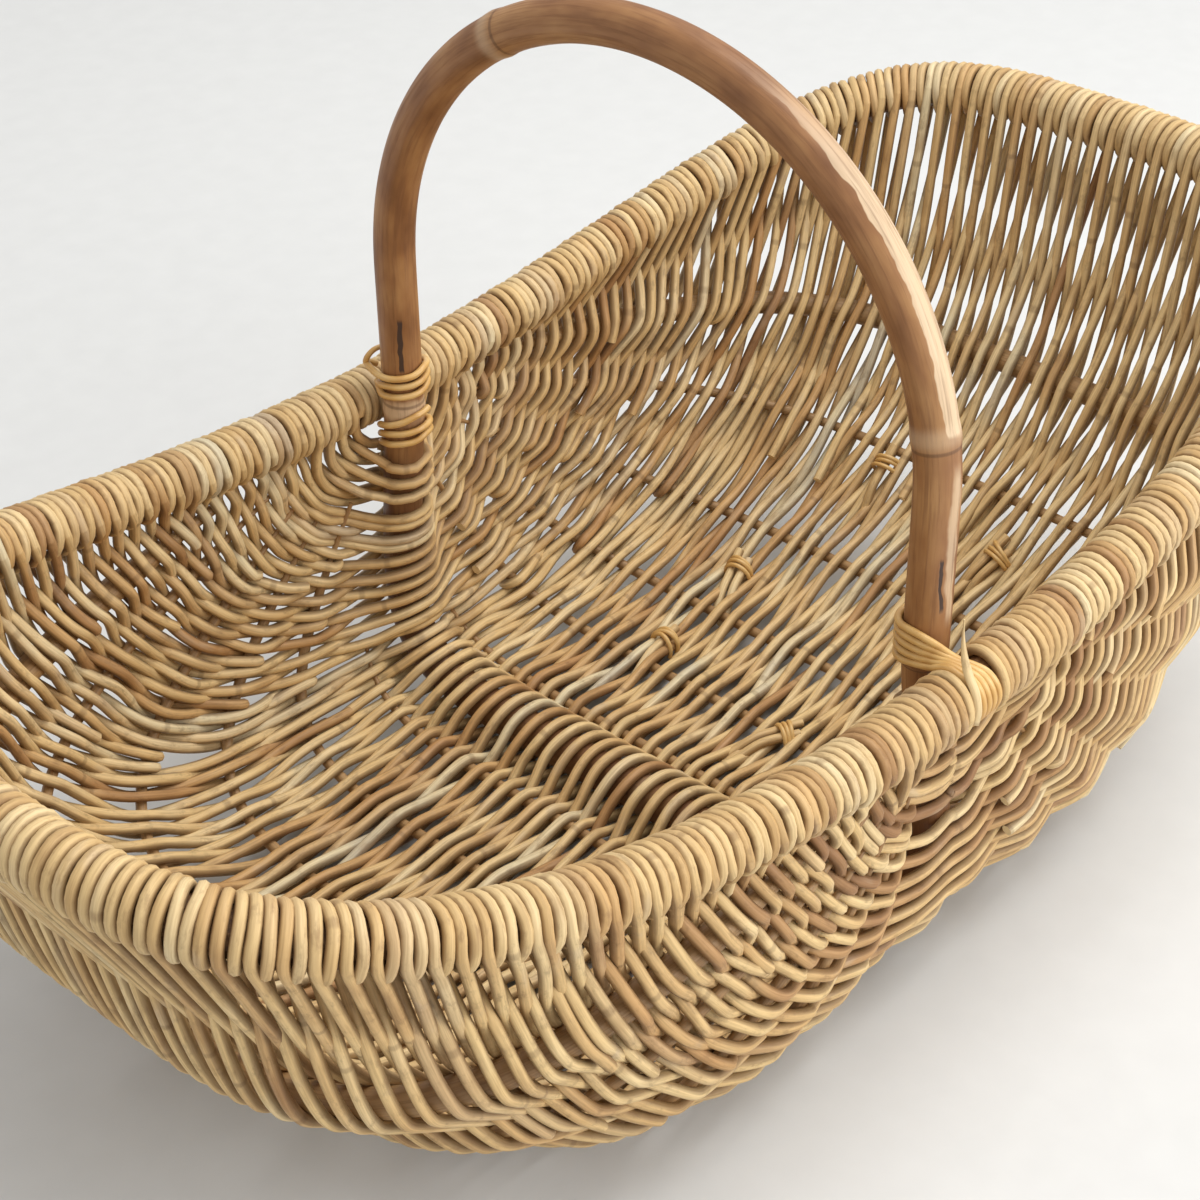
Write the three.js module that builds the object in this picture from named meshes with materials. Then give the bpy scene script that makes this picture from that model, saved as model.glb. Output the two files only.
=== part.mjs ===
// A wicker market basket: an oblong rattan frame basket with a fixed bow handle across its middle.
// Sizes are millimetres and +Z is up. The basket's length lies along X, and the handle hoop stands in
// the YZ plane. The origin is on the ground, below the middle of the basket.
//
// Two hoops carry the basket: the rim hoop, which lies flat, and the handle hoop, which stands inside it.
// They meet at two ears, one on the near side (-Y) and one on the far side (+Y). Ribs fan out from ear
// to ear on both sides of the handle. The weave runs lengthwise from rim to rim, over and under the ribs
// and the handle hoop, and its ends wrap round the rim.

import * as THREE from "three";

// Poles and canes
const handleDiameter = 24;
const rimCoreDiameter = 22;
const ribDiameter = 8;
const thickRibDiameter = 15;
const weaverDiameter = 6;
const lashingDiameter = 4;

// Rim hoop, measured to the middle of its core
const rimHalfLength = 432;
const rimHalfWidth = 212.6;
const rimEndLift = 82;
const rimSquareness = 3.75;

// Handle hoop, measured to the middle of the pole from the height of the rim beside it
const handleDrop = 184.6;
const handleStraightLeg = 94;
const legSplay = 18;
const floorSquareness = 6;

// Ribs on each side of the handle, from the handle outwards. The reach is the distance from the handle
// to the rib's lowest point, and the rise is the height of that point above the floor ribs.
const ribs = [
  { reach: 42, rise: 0, diameter: ribDiameter },
  { reach: 104, rise: 0, diameter: ribDiameter },
  { reach: 172, rise: 2, diameter: ribDiameter },
  { reach: 245, rise: 22, diameter: ribDiameter },
  { reach: 317, rise: 68, diameter: ribDiameter },
  { reach: 372, rise: 126, diameter: thickRibDiameter },
];
const ribTipShare = 0.4;
const ribTaperLength = 70;

// Weave: bands with a seam between them at the handle, and an open slot where the fan is wide
const weaveBands = 24;
const bandSeam = 1.8;
const bandSlot = 9;

// Lashings at the ears. The slope is how much higher the lower lashing lies inside than beside the rim.
const lashingLoops = 3;
const lashingPitch = 5.2;
const lowerLashingSlope = 12;

// Clearances
const clearance = 0.3;
const weaveClearance = 0.5;

// Worked out from the sizes above
const handleRadius = handleDiameter / 2;
const rimCoreRadius = rimCoreDiameter / 2;
const wrapRadius = rimCoreRadius + clearance + weaverDiameter;
const legHalfWidth = rimHalfWidth - wrapRadius - clearance - handleRadius;
const floorRibDrop = handleDrop + handleRadius - ribDiameter / 2;
const rimHeight = handleDrop + handleRadius + weaveClearance + weaverDiameter;
const rimLine = ribs.length + 1;

// Colours
const poleBrown = 0x9a6b45;
const ribBrown = 0x8f6238;
const caneGold = 0xc39a5c;
const caneHoney = 0xb08048;
const rimGold = 0xd9b878;
const lashingGold = 0xc8963f;

// The lines that fan out from the ears are numbered from the handle hoop, 0, past the ribs to the rim.
// A negative number is the line's mirror image on the -X side.
function lineSize(number) {
  const side = Math.sign(number);
  const line = Math.abs(number);
  const rib = ribs[line - 1];
  const turn = Math.sin((Math.PI / 2) * (line / rimLine));
  const size = {
    reach: 0,
    drop: handleDrop,
    lift: 0,
    halfWidth: legHalfWidth + (rimHalfWidth - legHalfWidth) * turn,
    splay: legSplay * (1 - (line / rimLine) ** 2),
    squareness: floorSquareness + (rimSquareness - floorSquareness) * turn ** 2,
  };
  if (rib) {
    size.reach = side * rib.reach;
    size.drop = floorRibDrop - rib.rise;
  }
  if (line === rimLine) {
    size.reach = side * rimHalfLength;
    size.drop = 0;
    size.lift = rimEndLift;
  }
  return size;
}

const lineSizes = new Map();
for (let number = -rimLine; number <= rimLine; number += 1) {
  lineSizes.set(number, lineSize(number));
}

// The slope of a smooth curve at one line, from the changes before and after it. It is level where the
// size turns back, so that the curve never overshoots.
function levelledSlope(before, after) {
  return before * after > 0 ? (2 * before * after) / (before + after) : 0;
}

// The value of one size between the numbered lines, on a smooth curve through them.
function sizeAt(name, place) {
  const start = Math.min(Math.max(Math.floor(place), -rimLine), rimLine - 1);
  const step = place - start;
  const low = lineSizes.get(start)[name];
  const high = lineSizes.get(start + 1)[name];
  const change = high - low;
  const changeBefore = start > -rimLine ? low - lineSizes.get(start - 1)[name] : change;
  const changeAfter = start + 2 <= rimLine ? lineSizes.get(start + 2)[name] - high : change;
  const slopeLow = levelledSlope(changeBefore, change);
  const slopeHigh = levelledSlope(change, changeAfter);
  const square = step * step;
  const cube = square * step;
  return (
    low * (2 * cube - 3 * square + 1) +
    slopeLow * (cube - 2 * square + step) +
    high * (3 * square - 2 * cube) +
    slopeHigh * (cube - square)
  );
}

// One line from the near ear to the far ear, as points with their distance along it. Seen along X, a line
// is a half of a squared-off ellipse: nearly straight legs, round corners and a nearly flat floor.
const lineSteps = 360;
const linesMade = new Map();

function fanLine(place) {
  if (linesMade.has(place)) {
    return linesMade.get(place);
  }
  const reach = sizeAt("reach", place);
  const drop = sizeAt("drop", place);
  const lift = sizeAt("lift", place);
  const halfWidth = sizeAt("halfWidth", place);
  const splay = sizeAt("splay", place);
  const squareness = sizeAt("squareness", place);
  const points = [];
  const distances = [0];
  for (let step = 0; step <= lineSteps; step += 1) {
    const angle = Math.PI * (step / lineSteps - 0.5);
    const across = Math.max(Math.cos(angle), 0);
    const along = Math.sin(angle);
    const size = (across ** squareness + Math.abs(along) ** squareness) ** (-1 / squareness);
    const out = across * size;
    points.push(
      new THREE.Vector3(reach * out, (halfWidth + splay * out) * along * size, lift * out * out - drop * out),
    );
    if (step > 0) {
      distances.push(distances[step - 1] + points[step].distanceTo(points[step - 1]));
    }
  }
  const line = { points, distances, length: distances[lineSteps] };
  linesMade.set(place, line);
  return line;
}

// A point of the basket's middle surface: place is the line, and share runs from the near ear at 0 to
// the far ear at 1.
function surfacePoint(place, share) {
  const line = fanLine(place);
  const distance = Math.min(Math.max(share, 0), 1) * line.length;
  let high = line.distances.findIndex((value) => value >= distance);
  high = Math.max(high, 1);
  const before = line.distances[high - 1];
  const part = (distance - before) / (line.distances[high] - before);
  return line.points[high - 1].clone().lerp(line.points[high], part);
}

// The direction that points out of the basket, square to its middle surface.
function surfaceOutward(place, share) {
  const stepPlace = 0.05;
  const stepShare = 0.006;
  const lowPlace = Math.max(place - stepPlace, -rimLine);
  const highPlace = Math.min(place + stepPlace, rimLine);
  const lowShare = Math.max(share - stepShare, 0);
  const highShare = Math.min(share + stepShare, 1);
  const alongPlace = surfacePoint(highPlace, share).sub(surfacePoint(lowPlace, share));
  const alongShare = surfacePoint(place, highShare).sub(surfacePoint(place, lowShare));
  return alongShare.cross(alongPlace).normalize();
}

// A closed body from rings that all have the same even number of points. Without a cap on each end, the
// last ring joins the first.
function ringBody(rings, capped) {
  const count = rings[0].length;
  const positions = rings.flat().flatMap((point) => [point.x, point.y, point.z]);
  const faces = [];
  const spans = capped ? rings.length - 1 : rings.length;
  for (let ring = 0; ring < spans; ring += 1) {
    const here = ring * count;
    const next = ((ring + 1) % rings.length) * count;
    for (let corner = 0; corner < count; corner += 1) {
      const turn = (corner + 1) % count;
      faces.push([here + corner, here + turn, next + turn]);
      faces.push([here + corner, next + turn, next + corner]);
    }
  }
  if (capped) {
    const last = (rings.length - 1) * count;
    for (let corner = 0; corner < count / 2 - 1; corner += 1) {
      const across = count - 1 - corner;
      faces.push([corner, across - 1, corner + 1], [corner, across, across - 1]);
      faces.push([last + corner, last + corner + 1, last + across - 1]);
      faces.push([last + corner, last + across - 1, last + across]);
    }
  }
  const geometry = new THREE.BufferGeometry();
  geometry.setAttribute("position", new THREE.Float32BufferAttribute(positions, 3));
  const points = rings.flat();
  const volume = faces.reduce(
    (sum, [a, b, c]) => sum + points[a].dot(points[b].clone().cross(points[c])),
    0,
  );
  geometry.setIndex(volume > 0 ? faces.flat() : faces.flatMap(([a, b, c]) => [a, c, b]));
  geometry.computeVertexNormals();
  return geometry;
}

// The direction of a path at each of its points.
function directions(points, closed) {
  const count = points.length;
  return points.map((point, index) => {
    const before = closed ? points[(index + count - 1) % count] : points[Math.max(index - 1, 0)];
    const after = closed ? points[(index + 1) % count] : points[Math.min(index + 1, count - 1)];
    return after.clone().sub(before).normalize();
  });
}

// One ring of a tube, with a flat side towards the outward direction.
function tubeRing(centre, direction, outward, radius, sides) {
  const first = outward.clone().addScaledVector(direction, -outward.dot(direction)).normalize();
  const second = direction.clone().cross(first);
  const ring = [];
  for (let corner = 0; corner < sides; corner += 1) {
    const angle = ((corner + 0.5) / sides) * 2 * Math.PI;
    ring.push(
      centre
        .clone()
        .addScaledVector(first, radius * Math.cos(angle))
        .addScaledVector(second, radius * Math.sin(angle)),
    );
  }
  return ring;
}

// The shares along a line that keep its shape within a tolerance, with the fewest points.
const fineSteps = 160;

function thinnedShares(place, from, to, tolerance) {
  const shares = Array.from(
    { length: fineSteps + 1 },
    (_, index) => from + ((to - from) * index) / fineSteps,
  );
  const points = shares.map((share) => surfacePoint(place, share));
  const kept = [0];
  const split = (low, high) => {
    const span = new THREE.Line3(points[low], points[high]);
    let worst = low;
    let error = tolerance;
    for (let index = low + 1; index < high; index += 1) {
      const foot = span.closestPointToPoint(points[index], true, new THREE.Vector3());
      const distance = foot.distanceTo(points[index]);
      if (distance > error) {
        error = distance;
        worst = index;
      }
    }
    if (worst > low) {
      split(low, worst);
      split(worst, high);
    } else {
      kept.push(high);
    }
  };
  split(0, fineSteps);
  return kept.map((index) => shares[index]);
}

const model = new THREE.Group();
const basket = new THREE.Group();
basket.position.z = rimHeight;
model.add(basket);

function addPiece(name, geometry, color, roughness) {
  const material = new THREE.MeshStandardMaterial({ color, roughness, metalness: 0 });
  const mesh = new THREE.Mesh(geometry, material);
  mesh.name = name;
  basket.add(mesh);
}

// Handle hoop: one pole, down both legs and across the floor, and up over the basket in a half circle.
const poleTolerance = 0.4;
const archSteps = 22;
const handleSides = 12;

function handlePath() {
  const path = thinnedShares(0, 0, 1, poleTolerance).map((share) => surfacePoint(0, share));
  for (let step = 0; step <= archSteps; step += 1) {
    const angle = Math.PI * (step / archSteps);
    path.push(
      new THREE.Vector3(
        0,
        legHalfWidth * Math.cos(angle),
        handleStraightLeg + legHalfWidth * Math.sin(angle),
      ),
    );
  }
  return path;
}

function handleHoop() {
  const path = handlePath();
  const headings = directions(path, true);
  const rings = path.map((point, index) => {
    const outward = headings[index].clone().cross(new THREE.Vector3(1, 0, 0)).negate();
    return tubeRing(point, headings[index], outward, handleRadius, handleSides);
  });
  return ringBody(rings, false);
}

addPiece("handle_hoop", handleHoop(), poleBrown, 0.6);

// Rim: a core hoop, and round it the wrapped ends of the weavers as a sleeve in four lengths.
const rimTolerance = 0.9;
const rimSides = 10;
const rimShares = thinnedShares(rimLine, 0, 0.5, rimTolerance);

function rimPoint(side, share) {
  return surfacePoint(side * rimLine, share);
}

function rimRing(point, heading, radius) {
  return tubeRing(point, heading, new THREE.Vector3(0, 0, 1), radius, rimSides);
}

// Headings at the ears and at the ends of the basket run straight across, so that the lengths meet.
function rimQuarter(side, isNear) {
  const shares = isNear ? rimShares : rimShares.map((share) => 1 - share).reverse();
  const points = shares.map((share) => rimPoint(side, share));
  const headings = directions(points, false);
  const last = headings.length - 1;
  const ear = isNear ? 0 : last;
  const end = isNear ? last : 0;
  headings[ear] = new THREE.Vector3(isNear ? side : -side, 0, 0);
  headings[end] = new THREE.Vector3(0, 1, 0);
  return { points, headings };
}

function rimCore() {
  const right = [rimQuarter(1, true), rimQuarter(1, false)];
  const left = [rimQuarter(-1, true), rimQuarter(-1, false)];
  const rings = [];
  right.forEach(({ points, headings }) => {
    for (let index = 0; index < points.length - 1; index += 1) {
      rings.push(rimRing(points[index], headings[index], rimCoreRadius));
    }
  });
  left.reverse().forEach(({ points, headings }) => {
    for (let index = points.length - 1; index > 0; index -= 1) {
      rings.push(rimRing(points[index], headings[index].clone().negate(), rimCoreRadius));
    }
  });
  return ringBody(rings, false);
}

function rimWrap(side, isNear) {
  const { points, headings } = rimQuarter(side, isNear);
  const last = points.length - 1;
  const ends = points.map((point) => point.clone());
  ends[0].addScaledVector(headings[0], clearance / 2);
  ends[last].addScaledVector(headings[last], -clearance / 2);
  const outer = ends.map((point, index) => rimRing(point, headings[index], wrapRadius));
  const inner = ends.map((point, index) => rimRing(point, headings[index], rimCoreRadius + clearance));
  const loops = [];
  for (let corner = 0; corner < rimSides; corner += 1) {
    const outside = outer.map((ring) => ring[corner]);
    const inside = inner.map((ring) => ring[corner]).reverse();
    loops.push([...outside, ...inside]);
  }
  return ringBody(loops, false);
}

addPiece("rim_core", rimCore(), poleBrown, 0.65);
[
  ["right_near", 1, true],
  ["right_far", 1, false],
  ["left_near", -1, true],
  ["left_far", -1, false],
].forEach(([name, side, isNear]) => addPiece(`rim_wrap_${name}`, rimWrap(side, isNear), rimGold, 0.55));

// The middle of the rim as points, to measure how close a piece comes to it.
const rimMiddle = [-1, 1].flatMap((side) => fanLine(side * rimLine).points);

function gapToRim(point) {
  const nearest = rimMiddle.reduce(
    (least, other) => Math.min(least, point.distanceToSquared(other)),
    Infinity,
  );
  return Math.sqrt(nearest) - wrapRadius;
}

// Each rib starts where the fan has opened enough for it: a full crossing apart from the line before it,
// and for the last rib also clear of the rim. The search runs along the line from beside the ear.
const leastRibStart = 0.02;
const mostRibStart = 0.4;
const ribStartStep = 0.002;
const ribRimGap = 0.8 * weaverDiameter;

function ribRadius(line) {
  return ribs[line - 1].diameter / 2;
}

function ribStartShare(line) {
  const before = line === 1 ? handleRadius : ribRadius(line - 1);
  const crossing = before + ribRadius(line) + 2 * weaverDiameter + 2 * weaveClearance;
  const opening = line === 1 ? crossing + weaverDiameter : crossing;
  const beside = ribRimGap + ribRadius(line);
  const isOpen = (share) => {
    const point = surfacePoint(line, share);
    return point.distanceTo(surfacePoint(line - 1, share)) > opening && gapToRim(point) > beside;
  };
  let share = leastRibStart;
  while (share < mostRibStart && !isOpen(share)) {
    share += ribStartStep;
  }
  return share;
}

const ribStarts = ribs.map((rib, index) => ribStartShare(index + 1));
const ribSides = 6;

function ribBody(side, line) {
  const place = side * line;
  const start = ribStarts[line - 1];
  const shares = thinnedShares(place, start, 1 - start, poleTolerance);
  const points = shares.map((share) => surfacePoint(place, share));
  const headings = directions(points, false);
  const length = fanLine(place).length;
  const rings = points.map((point, index) => {
    const fromEnd = Math.min(shares[index] - start, 1 - start - shares[index]) * length;
    const full = THREE.MathUtils.smoothstep(fromEnd, 0, ribTaperLength);
    const radius = ribRadius(line) * (ribTipShare + (1 - ribTipShare) * full);
    return tubeRing(point, headings[index], surfaceOutward(place, shares[index]), radius, ribSides);
  });
  return ringBody(rings, true);
}

[-1, 1].forEach((side) => {
  ribs.forEach((rib, index) => {
    const name = `rib_${side < 0 ? "left" : "right"}_${index + 1}`;
    addPiece(name, ribBody(side, index + 1), ribBrown, 0.65);
  });
});

// Weave: bands of weavers that run lengthwise, each one weaver thick. A band passes on one side of the
// handle hoop, on the other side of the first ribs, and so on, and the bands beside it do the opposite.
const crossingFlat = 4.5;
const widestFlatShare = 0.35;
const handleFlat = handleRadius * 0.75;
const handleRamp = 27;

// Beside a rib's tip the bands already part to let it in, from the first to the second of these shares
// of the rib's start.
const ribPartingStart = 0.7;
const ribPartingEnd = 0.97;

function ribOffset(line, share) {
  const fromEar = Math.min(share, 1 - share);
  const start = ribStarts[line - 1];
  const present = THREE.MathUtils.smoothstep(fromEar, start * ribPartingStart, start * ribPartingEnd);
  const side = line % 2 === 0 ? 1 : -1;
  return side * present * (ribRadius(line) + weaveClearance + weaverDiameter / 2);
}

// The half width of a level crossing at a line, as a share of the way to the next line.
function crossingShare(line, nextLine, share) {
  const span = surfacePoint(line, share).distanceTo(surfacePoint(nextLine, share));
  return Math.min(crossingFlat / span, widestFlatShare);
}

// How far a band lies to its own side of the middle surface, where it passes the ribs.
function ribWave(place, share) {
  const across = Math.abs(place);
  const low = Math.min(Math.floor(across), rimLine - 1);
  const wave = (line) => (line === rimLine ? 0 : ribOffset(Math.max(line, 1), share));
  const flat = crossingShare(low, low + 1, share);
  const ramp = THREE.MathUtils.clamp((across - low - flat) / (1 - 2 * flat), 0, 1);
  return THREE.MathUtils.lerp(wave(low), wave(low + 1), ramp);
}

// The two faces of a band at one place: the inner one first. The band starts level beside the handle
// hoop, a pole's radius off its middle, and ramps from there to its way past the ribs.
function bandFaces(place, share, side) {
  const pastRibs = surfacePoint(place, share);
  const pastHandle = surfacePoint(0, share).setX(pastRibs.x);
  const ribsOutward = surfaceOutward(place, share);
  const handleOutward = surfaceOutward(0, share);
  const firstRib = surfacePoint(1 - crossingShare(1, 0, share), share);
  const rampEnd = Math.max(firstRib.x, handleRamp);
  const ramp = THREE.MathUtils.clamp((Math.abs(pastRibs.x) - handleFlat) / (rampEnd - handleFlat), 0, 1);
  const handleOffset = handleRadius + weaveClearance + weaverDiameter / 2;
  pastRibs.addScaledVector(ribsOutward, side * ribWave(place, share));
  pastHandle.addScaledVector(handleOutward, side * handleOffset);
  const middle = pastHandle.lerp(pastRibs, ramp);
  const outward = handleOutward.lerp(ribsOutward, ramp).normalize();
  return [-1, 1].map((face) => middle.clone().addScaledVector(outward, (face * weaverDiameter) / 2));
}

// Where a band meets the rim's sleeve.
function bandEnd(share, side) {
  const isClear = (place) =>
    bandFaces(place, share, side).every((point) => gapToRim(point) > weaveClearance);
  let place = 1;
  for (const step of [0.1, 0.01, 0.002]) {
    while (place + step <= rimLine && isClear(place + step)) {
      place += step;
    }
  }
  return place;
}

// Where the slots between the bands start and reach their full width: lines from the handle outwards, and
// shares of a line from an ear.
const slotStartLine = 0.6;
const slotFullLine = 2;
const slotStartShare = 0.08;
const slotFullShare = 0.22;

// Neighbouring places of a band lie at least this far apart, and edges of a straight band face this
// nearly the same way.
const leastPlaceStep = 0.04;
const straightTurn = 0.985;

// Places along one edge of a band, at both ends of each flat crossing, from the handle to the rim.
function bandPlaces(share, side) {
  const places = [];
  const firstSpan = surfacePoint(1, share).distanceTo(surfacePoint(0, share));
  places.push(Math.min(handleFlat / firstSpan, 0.5));
  for (let line = 1; line < rimLine; line += 1) {
    places.push(line - crossingShare(line, line - 1, share), line + crossingShare(line, line + 1, share));
  }
  const end = bandEnd(share, side);
  places.push(end);
  return places.map((place, index) => Math.min(place, end - (places.length - 1 - index) * leastPlaceStep));
}

// How far the edge of a band lies back from the middle of the seam, as a share of the line. The seam
// opens to a slot past the handle, and away from the ears, where the lines lie close together.
function edgeInset(place, share) {
  const pastHandle = THREE.MathUtils.smoothstep(Math.abs(place), slotStartLine, slotFullLine);
  const pastEar = THREE.MathUtils.smoothstep(Math.min(share, 1 - share), slotStartShare, slotFullShare);
  const gap = THREE.MathUtils.lerp(bandSeam, bandSlot, pastHandle * pastEar);
  return gap / 2 / fanLine(place).length;
}

// A band runs between two shares, and its edges are inset from them. A bent band has a middle edge too.
function bandBody(from, to, side) {
  const middle = (from + to) / 2;
  const edges = [{ share: from, inset: 1 }, { share: to, inset: -1 }];
  if (!isStraight(from, to)) {
    edges.splice(1, 0, { share: middle, inset: 0 });
  }
  const columns = edges.map(({ share, inset }) => {
    const places = bandPlaces(share, side);
    const all = [...places.map((place) => -place).reverse(), ...places];
    return all.map((place) => bandFaces(place, share + inset * edgeInset(place, share), side));
  });
  const rings = columns[0].map((_, index) => {
    const inner = columns.map((column) => column[index][0]);
    const outer = columns.map((column) => column[index][1]).reverse();
    return [...inner, ...outer];
  });
  return ringBody(rings, true);
}

// The bands fill the walls and the floor between the lower lashings of the two ears.
const lashingRadius = lashingDiameter / 2;
const lashingRise = Math.sqrt(
  (wrapRadius + lashingRadius + 2 * clearance) ** 2 - (wrapRadius - lashingRadius) ** 2,
);
const lashingHeight = lashingLoops * lashingPitch;
const weaveStart = lashingRise + lashingHeight + lashingRadius + 2 * clearance;
const firstShare = weaveStart / fanLine(0).length;
const bandShare = (1 - 2 * firstShare) / weaveBands;

// A band is straight if its two edges face nearly the same way all along it.
function isStraight(from, to) {
  for (let line = 0; line < rimLine; line += 1) {
    if (surfaceOutward(line, from).dot(surfaceOutward(line, to)) < straightTurn) {
      return false;
    }
  }
  return true;
}

for (let band = 0; band < weaveBands; band += 1) {
  const from = firstShare + band * bandShare;
  const side = band % 2 === 0 ? 1 : -1;
  const number = String(band + 1).padStart(2, "0");
  const color = band % 3 === 0 ? caneHoney : caneGold;
  addPiece(`weave_band_${number}`, bandBody(from, from + bandShare, side), color, 0.6);
}

// Lashings: thin canes wound round the legs of the handle. An upper one lies level above the rim's
// middle, and a lower one slopes from inside the basket to below the rim.
const stepsPerLoop = 24;
const lashingSides = 6;

function lashingPath(sideY, turnUp) {
  const radius = handleRadius + clearance + lashingRadius;
  const slope = turnUp < 0 ? lowerLashingSlope : 0;
  const steps = stepsPerLoop * lashingLoops;
  const path = [];
  for (let step = 0; step <= steps; step += 1) {
    const angle = (step / stepsPerLoop) * 2 * Math.PI;
    const inside = (1 - sideY * Math.sin(angle)) / 2;
    const height = turnUp * (lashingRise + (step / steps) * lashingHeight) + slope * inside;
    path.push(new THREE.Vector3(radius * Math.cos(angle), radius * Math.sin(angle), height));
  }
  const tailFrom = (end, before) => end.clone().add(end.clone().sub(before).setLength(lashingDiameter));
  path.unshift(tailFrom(path[0], path[1]));
  path.push(tailFrom(path[path.length - 1], path[path.length - 2]));
  return path;
}

function leastSelfGap(path, diameter, apart) {
  let least = Infinity;
  for (let first = 0; first < path.length; first += 1) {
    for (let second = first + apart; second < path.length; second += 1) {
      least = Math.min(least, path[first].distanceTo(path[second]));
    }
  }
  return least - diameter;
}

// The middle of a leg at a height below the rim's middle, where the leg leans out.
function legMiddle(height) {
  const below = fanLine(0).points.find((point) => point.z <= Math.min(height, 0));
  return Math.abs(below.y);
}

function lashingBody(sideY, turnUp) {
  const path = lashingPath(sideY, turnUp);
  const gap = leastSelfGap(path, lashingDiameter, stepsPerLoop / 2);
  console.log(`lashing: least gap to itself ${gap.toFixed(2)} mm`);
  const headings = directions(path, false);
  const rings = path.map((point, index) => {
    const outward = new THREE.Vector3(point.x, point.y, 0);
    const centre = point.clone();
    centre.y += sideY * legMiddle(point.z);
    return tubeRing(centre, headings[index], outward, lashingRadius, lashingSides);
  });
  return ringBody(rings, true);
}

addPiece("lashing_near_upper", lashingBody(-1, 1), lashingGold, 0.5);
addPiece("lashing_far_upper", lashingBody(1, 1), lashingGold, 0.5);
addPiece("lashing_far_lower", lashingBody(1, -1), lashingGold, 0.5);

export default model;
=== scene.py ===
# A wicker market basket in Blender: every cane of the weave, the wrapped rim, the ribs, the rattan pole of
# the handle and the lashings, in the frame of the CAD part. Sizes are in millimetres until a mesh is made,
# and the meshes are in metres.

import math

import bpy
import numpy as np
from mathutils import Matrix, Vector


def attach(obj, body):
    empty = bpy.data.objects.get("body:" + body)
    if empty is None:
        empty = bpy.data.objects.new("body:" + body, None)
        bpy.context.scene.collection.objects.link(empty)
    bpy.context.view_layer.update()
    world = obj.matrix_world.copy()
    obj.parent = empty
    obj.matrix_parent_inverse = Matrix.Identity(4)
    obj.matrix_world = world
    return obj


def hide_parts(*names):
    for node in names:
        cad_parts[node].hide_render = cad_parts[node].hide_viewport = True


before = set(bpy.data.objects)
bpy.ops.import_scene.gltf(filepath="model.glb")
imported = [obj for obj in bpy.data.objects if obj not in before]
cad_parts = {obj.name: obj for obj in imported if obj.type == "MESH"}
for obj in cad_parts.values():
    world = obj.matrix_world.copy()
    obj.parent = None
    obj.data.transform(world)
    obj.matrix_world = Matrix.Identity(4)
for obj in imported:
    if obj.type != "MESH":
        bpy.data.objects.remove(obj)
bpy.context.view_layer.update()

METRES = 0.001
rng = np.random.default_rng(41)

# The camera, fitted to the rim and the handle in the photograph: metres, radians and lens millimetres.
CAMERA_PLACE = (-0.8479, -0.7473, 0.9430)
CAMERA_YAW = 0.744
CAMERA_PITCH = 0.6088
CAMERA_ROLL = -0.0138
CAMERA_LENS = 76.2


def add_camera():
    flat = math.cos(CAMERA_PITCH)
    forward = Vector((math.cos(CAMERA_YAW) * flat, math.sin(CAMERA_YAW) * flat, -math.sin(CAMERA_PITCH)))
    level = Vector((math.sin(CAMERA_YAW), -math.cos(CAMERA_YAW), 0))
    upright = level.cross(forward)
    right = level * math.cos(CAMERA_ROLL) + upright * math.sin(CAMERA_ROLL)
    up = upright * math.cos(CAMERA_ROLL) - level * math.sin(CAMERA_ROLL)
    turn = Matrix((right, up, -forward)).transposed().to_4x4()
    data = bpy.data.cameras.new("camera")
    data.lens = CAMERA_LENS
    data.sensor_width = 36
    data.clip_start = 0.05
    camera = bpy.data.objects.new("camera", data)
    camera.matrix_world = Matrix.Translation(CAMERA_PLACE) @ turn
    bpy.context.scene.collection.objects.link(camera)
    bpy.context.scene.camera = camera


add_camera()

# Sizes of the CAD part.
HANDLE_RADIUS = 12.0
RIM_CORE_RADIUS = 11.0
RIB_RADIUS = [4.0, 4.0, 4.0, 4.0, 4.0, 7.5]
CANE_RADIUS = 3.0
LASHING_RADIUS = 2.0
RIM_HALF_LENGTH = 432.0
RIM_HALF_WIDTH = 212.6
RIM_END_LIFT = 82.0
RIM_SQUARENESS = 3.75
HANDLE_DROP = 184.6
HANDLE_STRAIGHT_LEG = 94.0
LEG_SPLAY = 18.0
FLOOR_SQUARENESS = 6.0
RIB_REACH = [42.0, 104.0, 172.0, 245.0, 317.0, 372.0]
RIB_RISE = [0.0, 0.0, 2.0, 22.0, 68.0, 126.0]
RIB_TIP_SHARE = 0.4
RIB_TAPER = 70.0
CLEARANCE = 0.3
WEAVE_CLEARANCE = 0.5
BANDS = 24
WEAVE_START = 30.9

WRAP_RADIUS = RIM_CORE_RADIUS + CLEARANCE + 2 * CANE_RADIUS
LEG_HALF_WIDTH = RIM_HALF_WIDTH - WRAP_RADIUS - CLEARANCE - HANDLE_RADIUS
FLOOR_RIB_DROP = HANDLE_DROP + HANDLE_RADIUS - RIB_RADIUS[0]
RIM_HEIGHT = HANDLE_DROP + HANDLE_RADIUS + WEAVE_CLEARANCE + 2 * CANE_RADIUS

# The basket's surface is a fan of lines from the near ear to the far one: 0 is the handle hoop, 1 to 6 are
# the ribs and 7 is the rim, negative on the left. A point on it has a place, between two lines, and a share
# of the way from ear to ear.
RIM_LINE = 7
LINES = np.arange(RIM_LINE + 1)
PLACE_STEPS = 24
PLACES = np.linspace(-RIM_LINE, RIM_LINE, 2 * RIM_LINE * PLACE_STEPS + 1)
SHARES = np.linspace(0, 1, 721)


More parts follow.
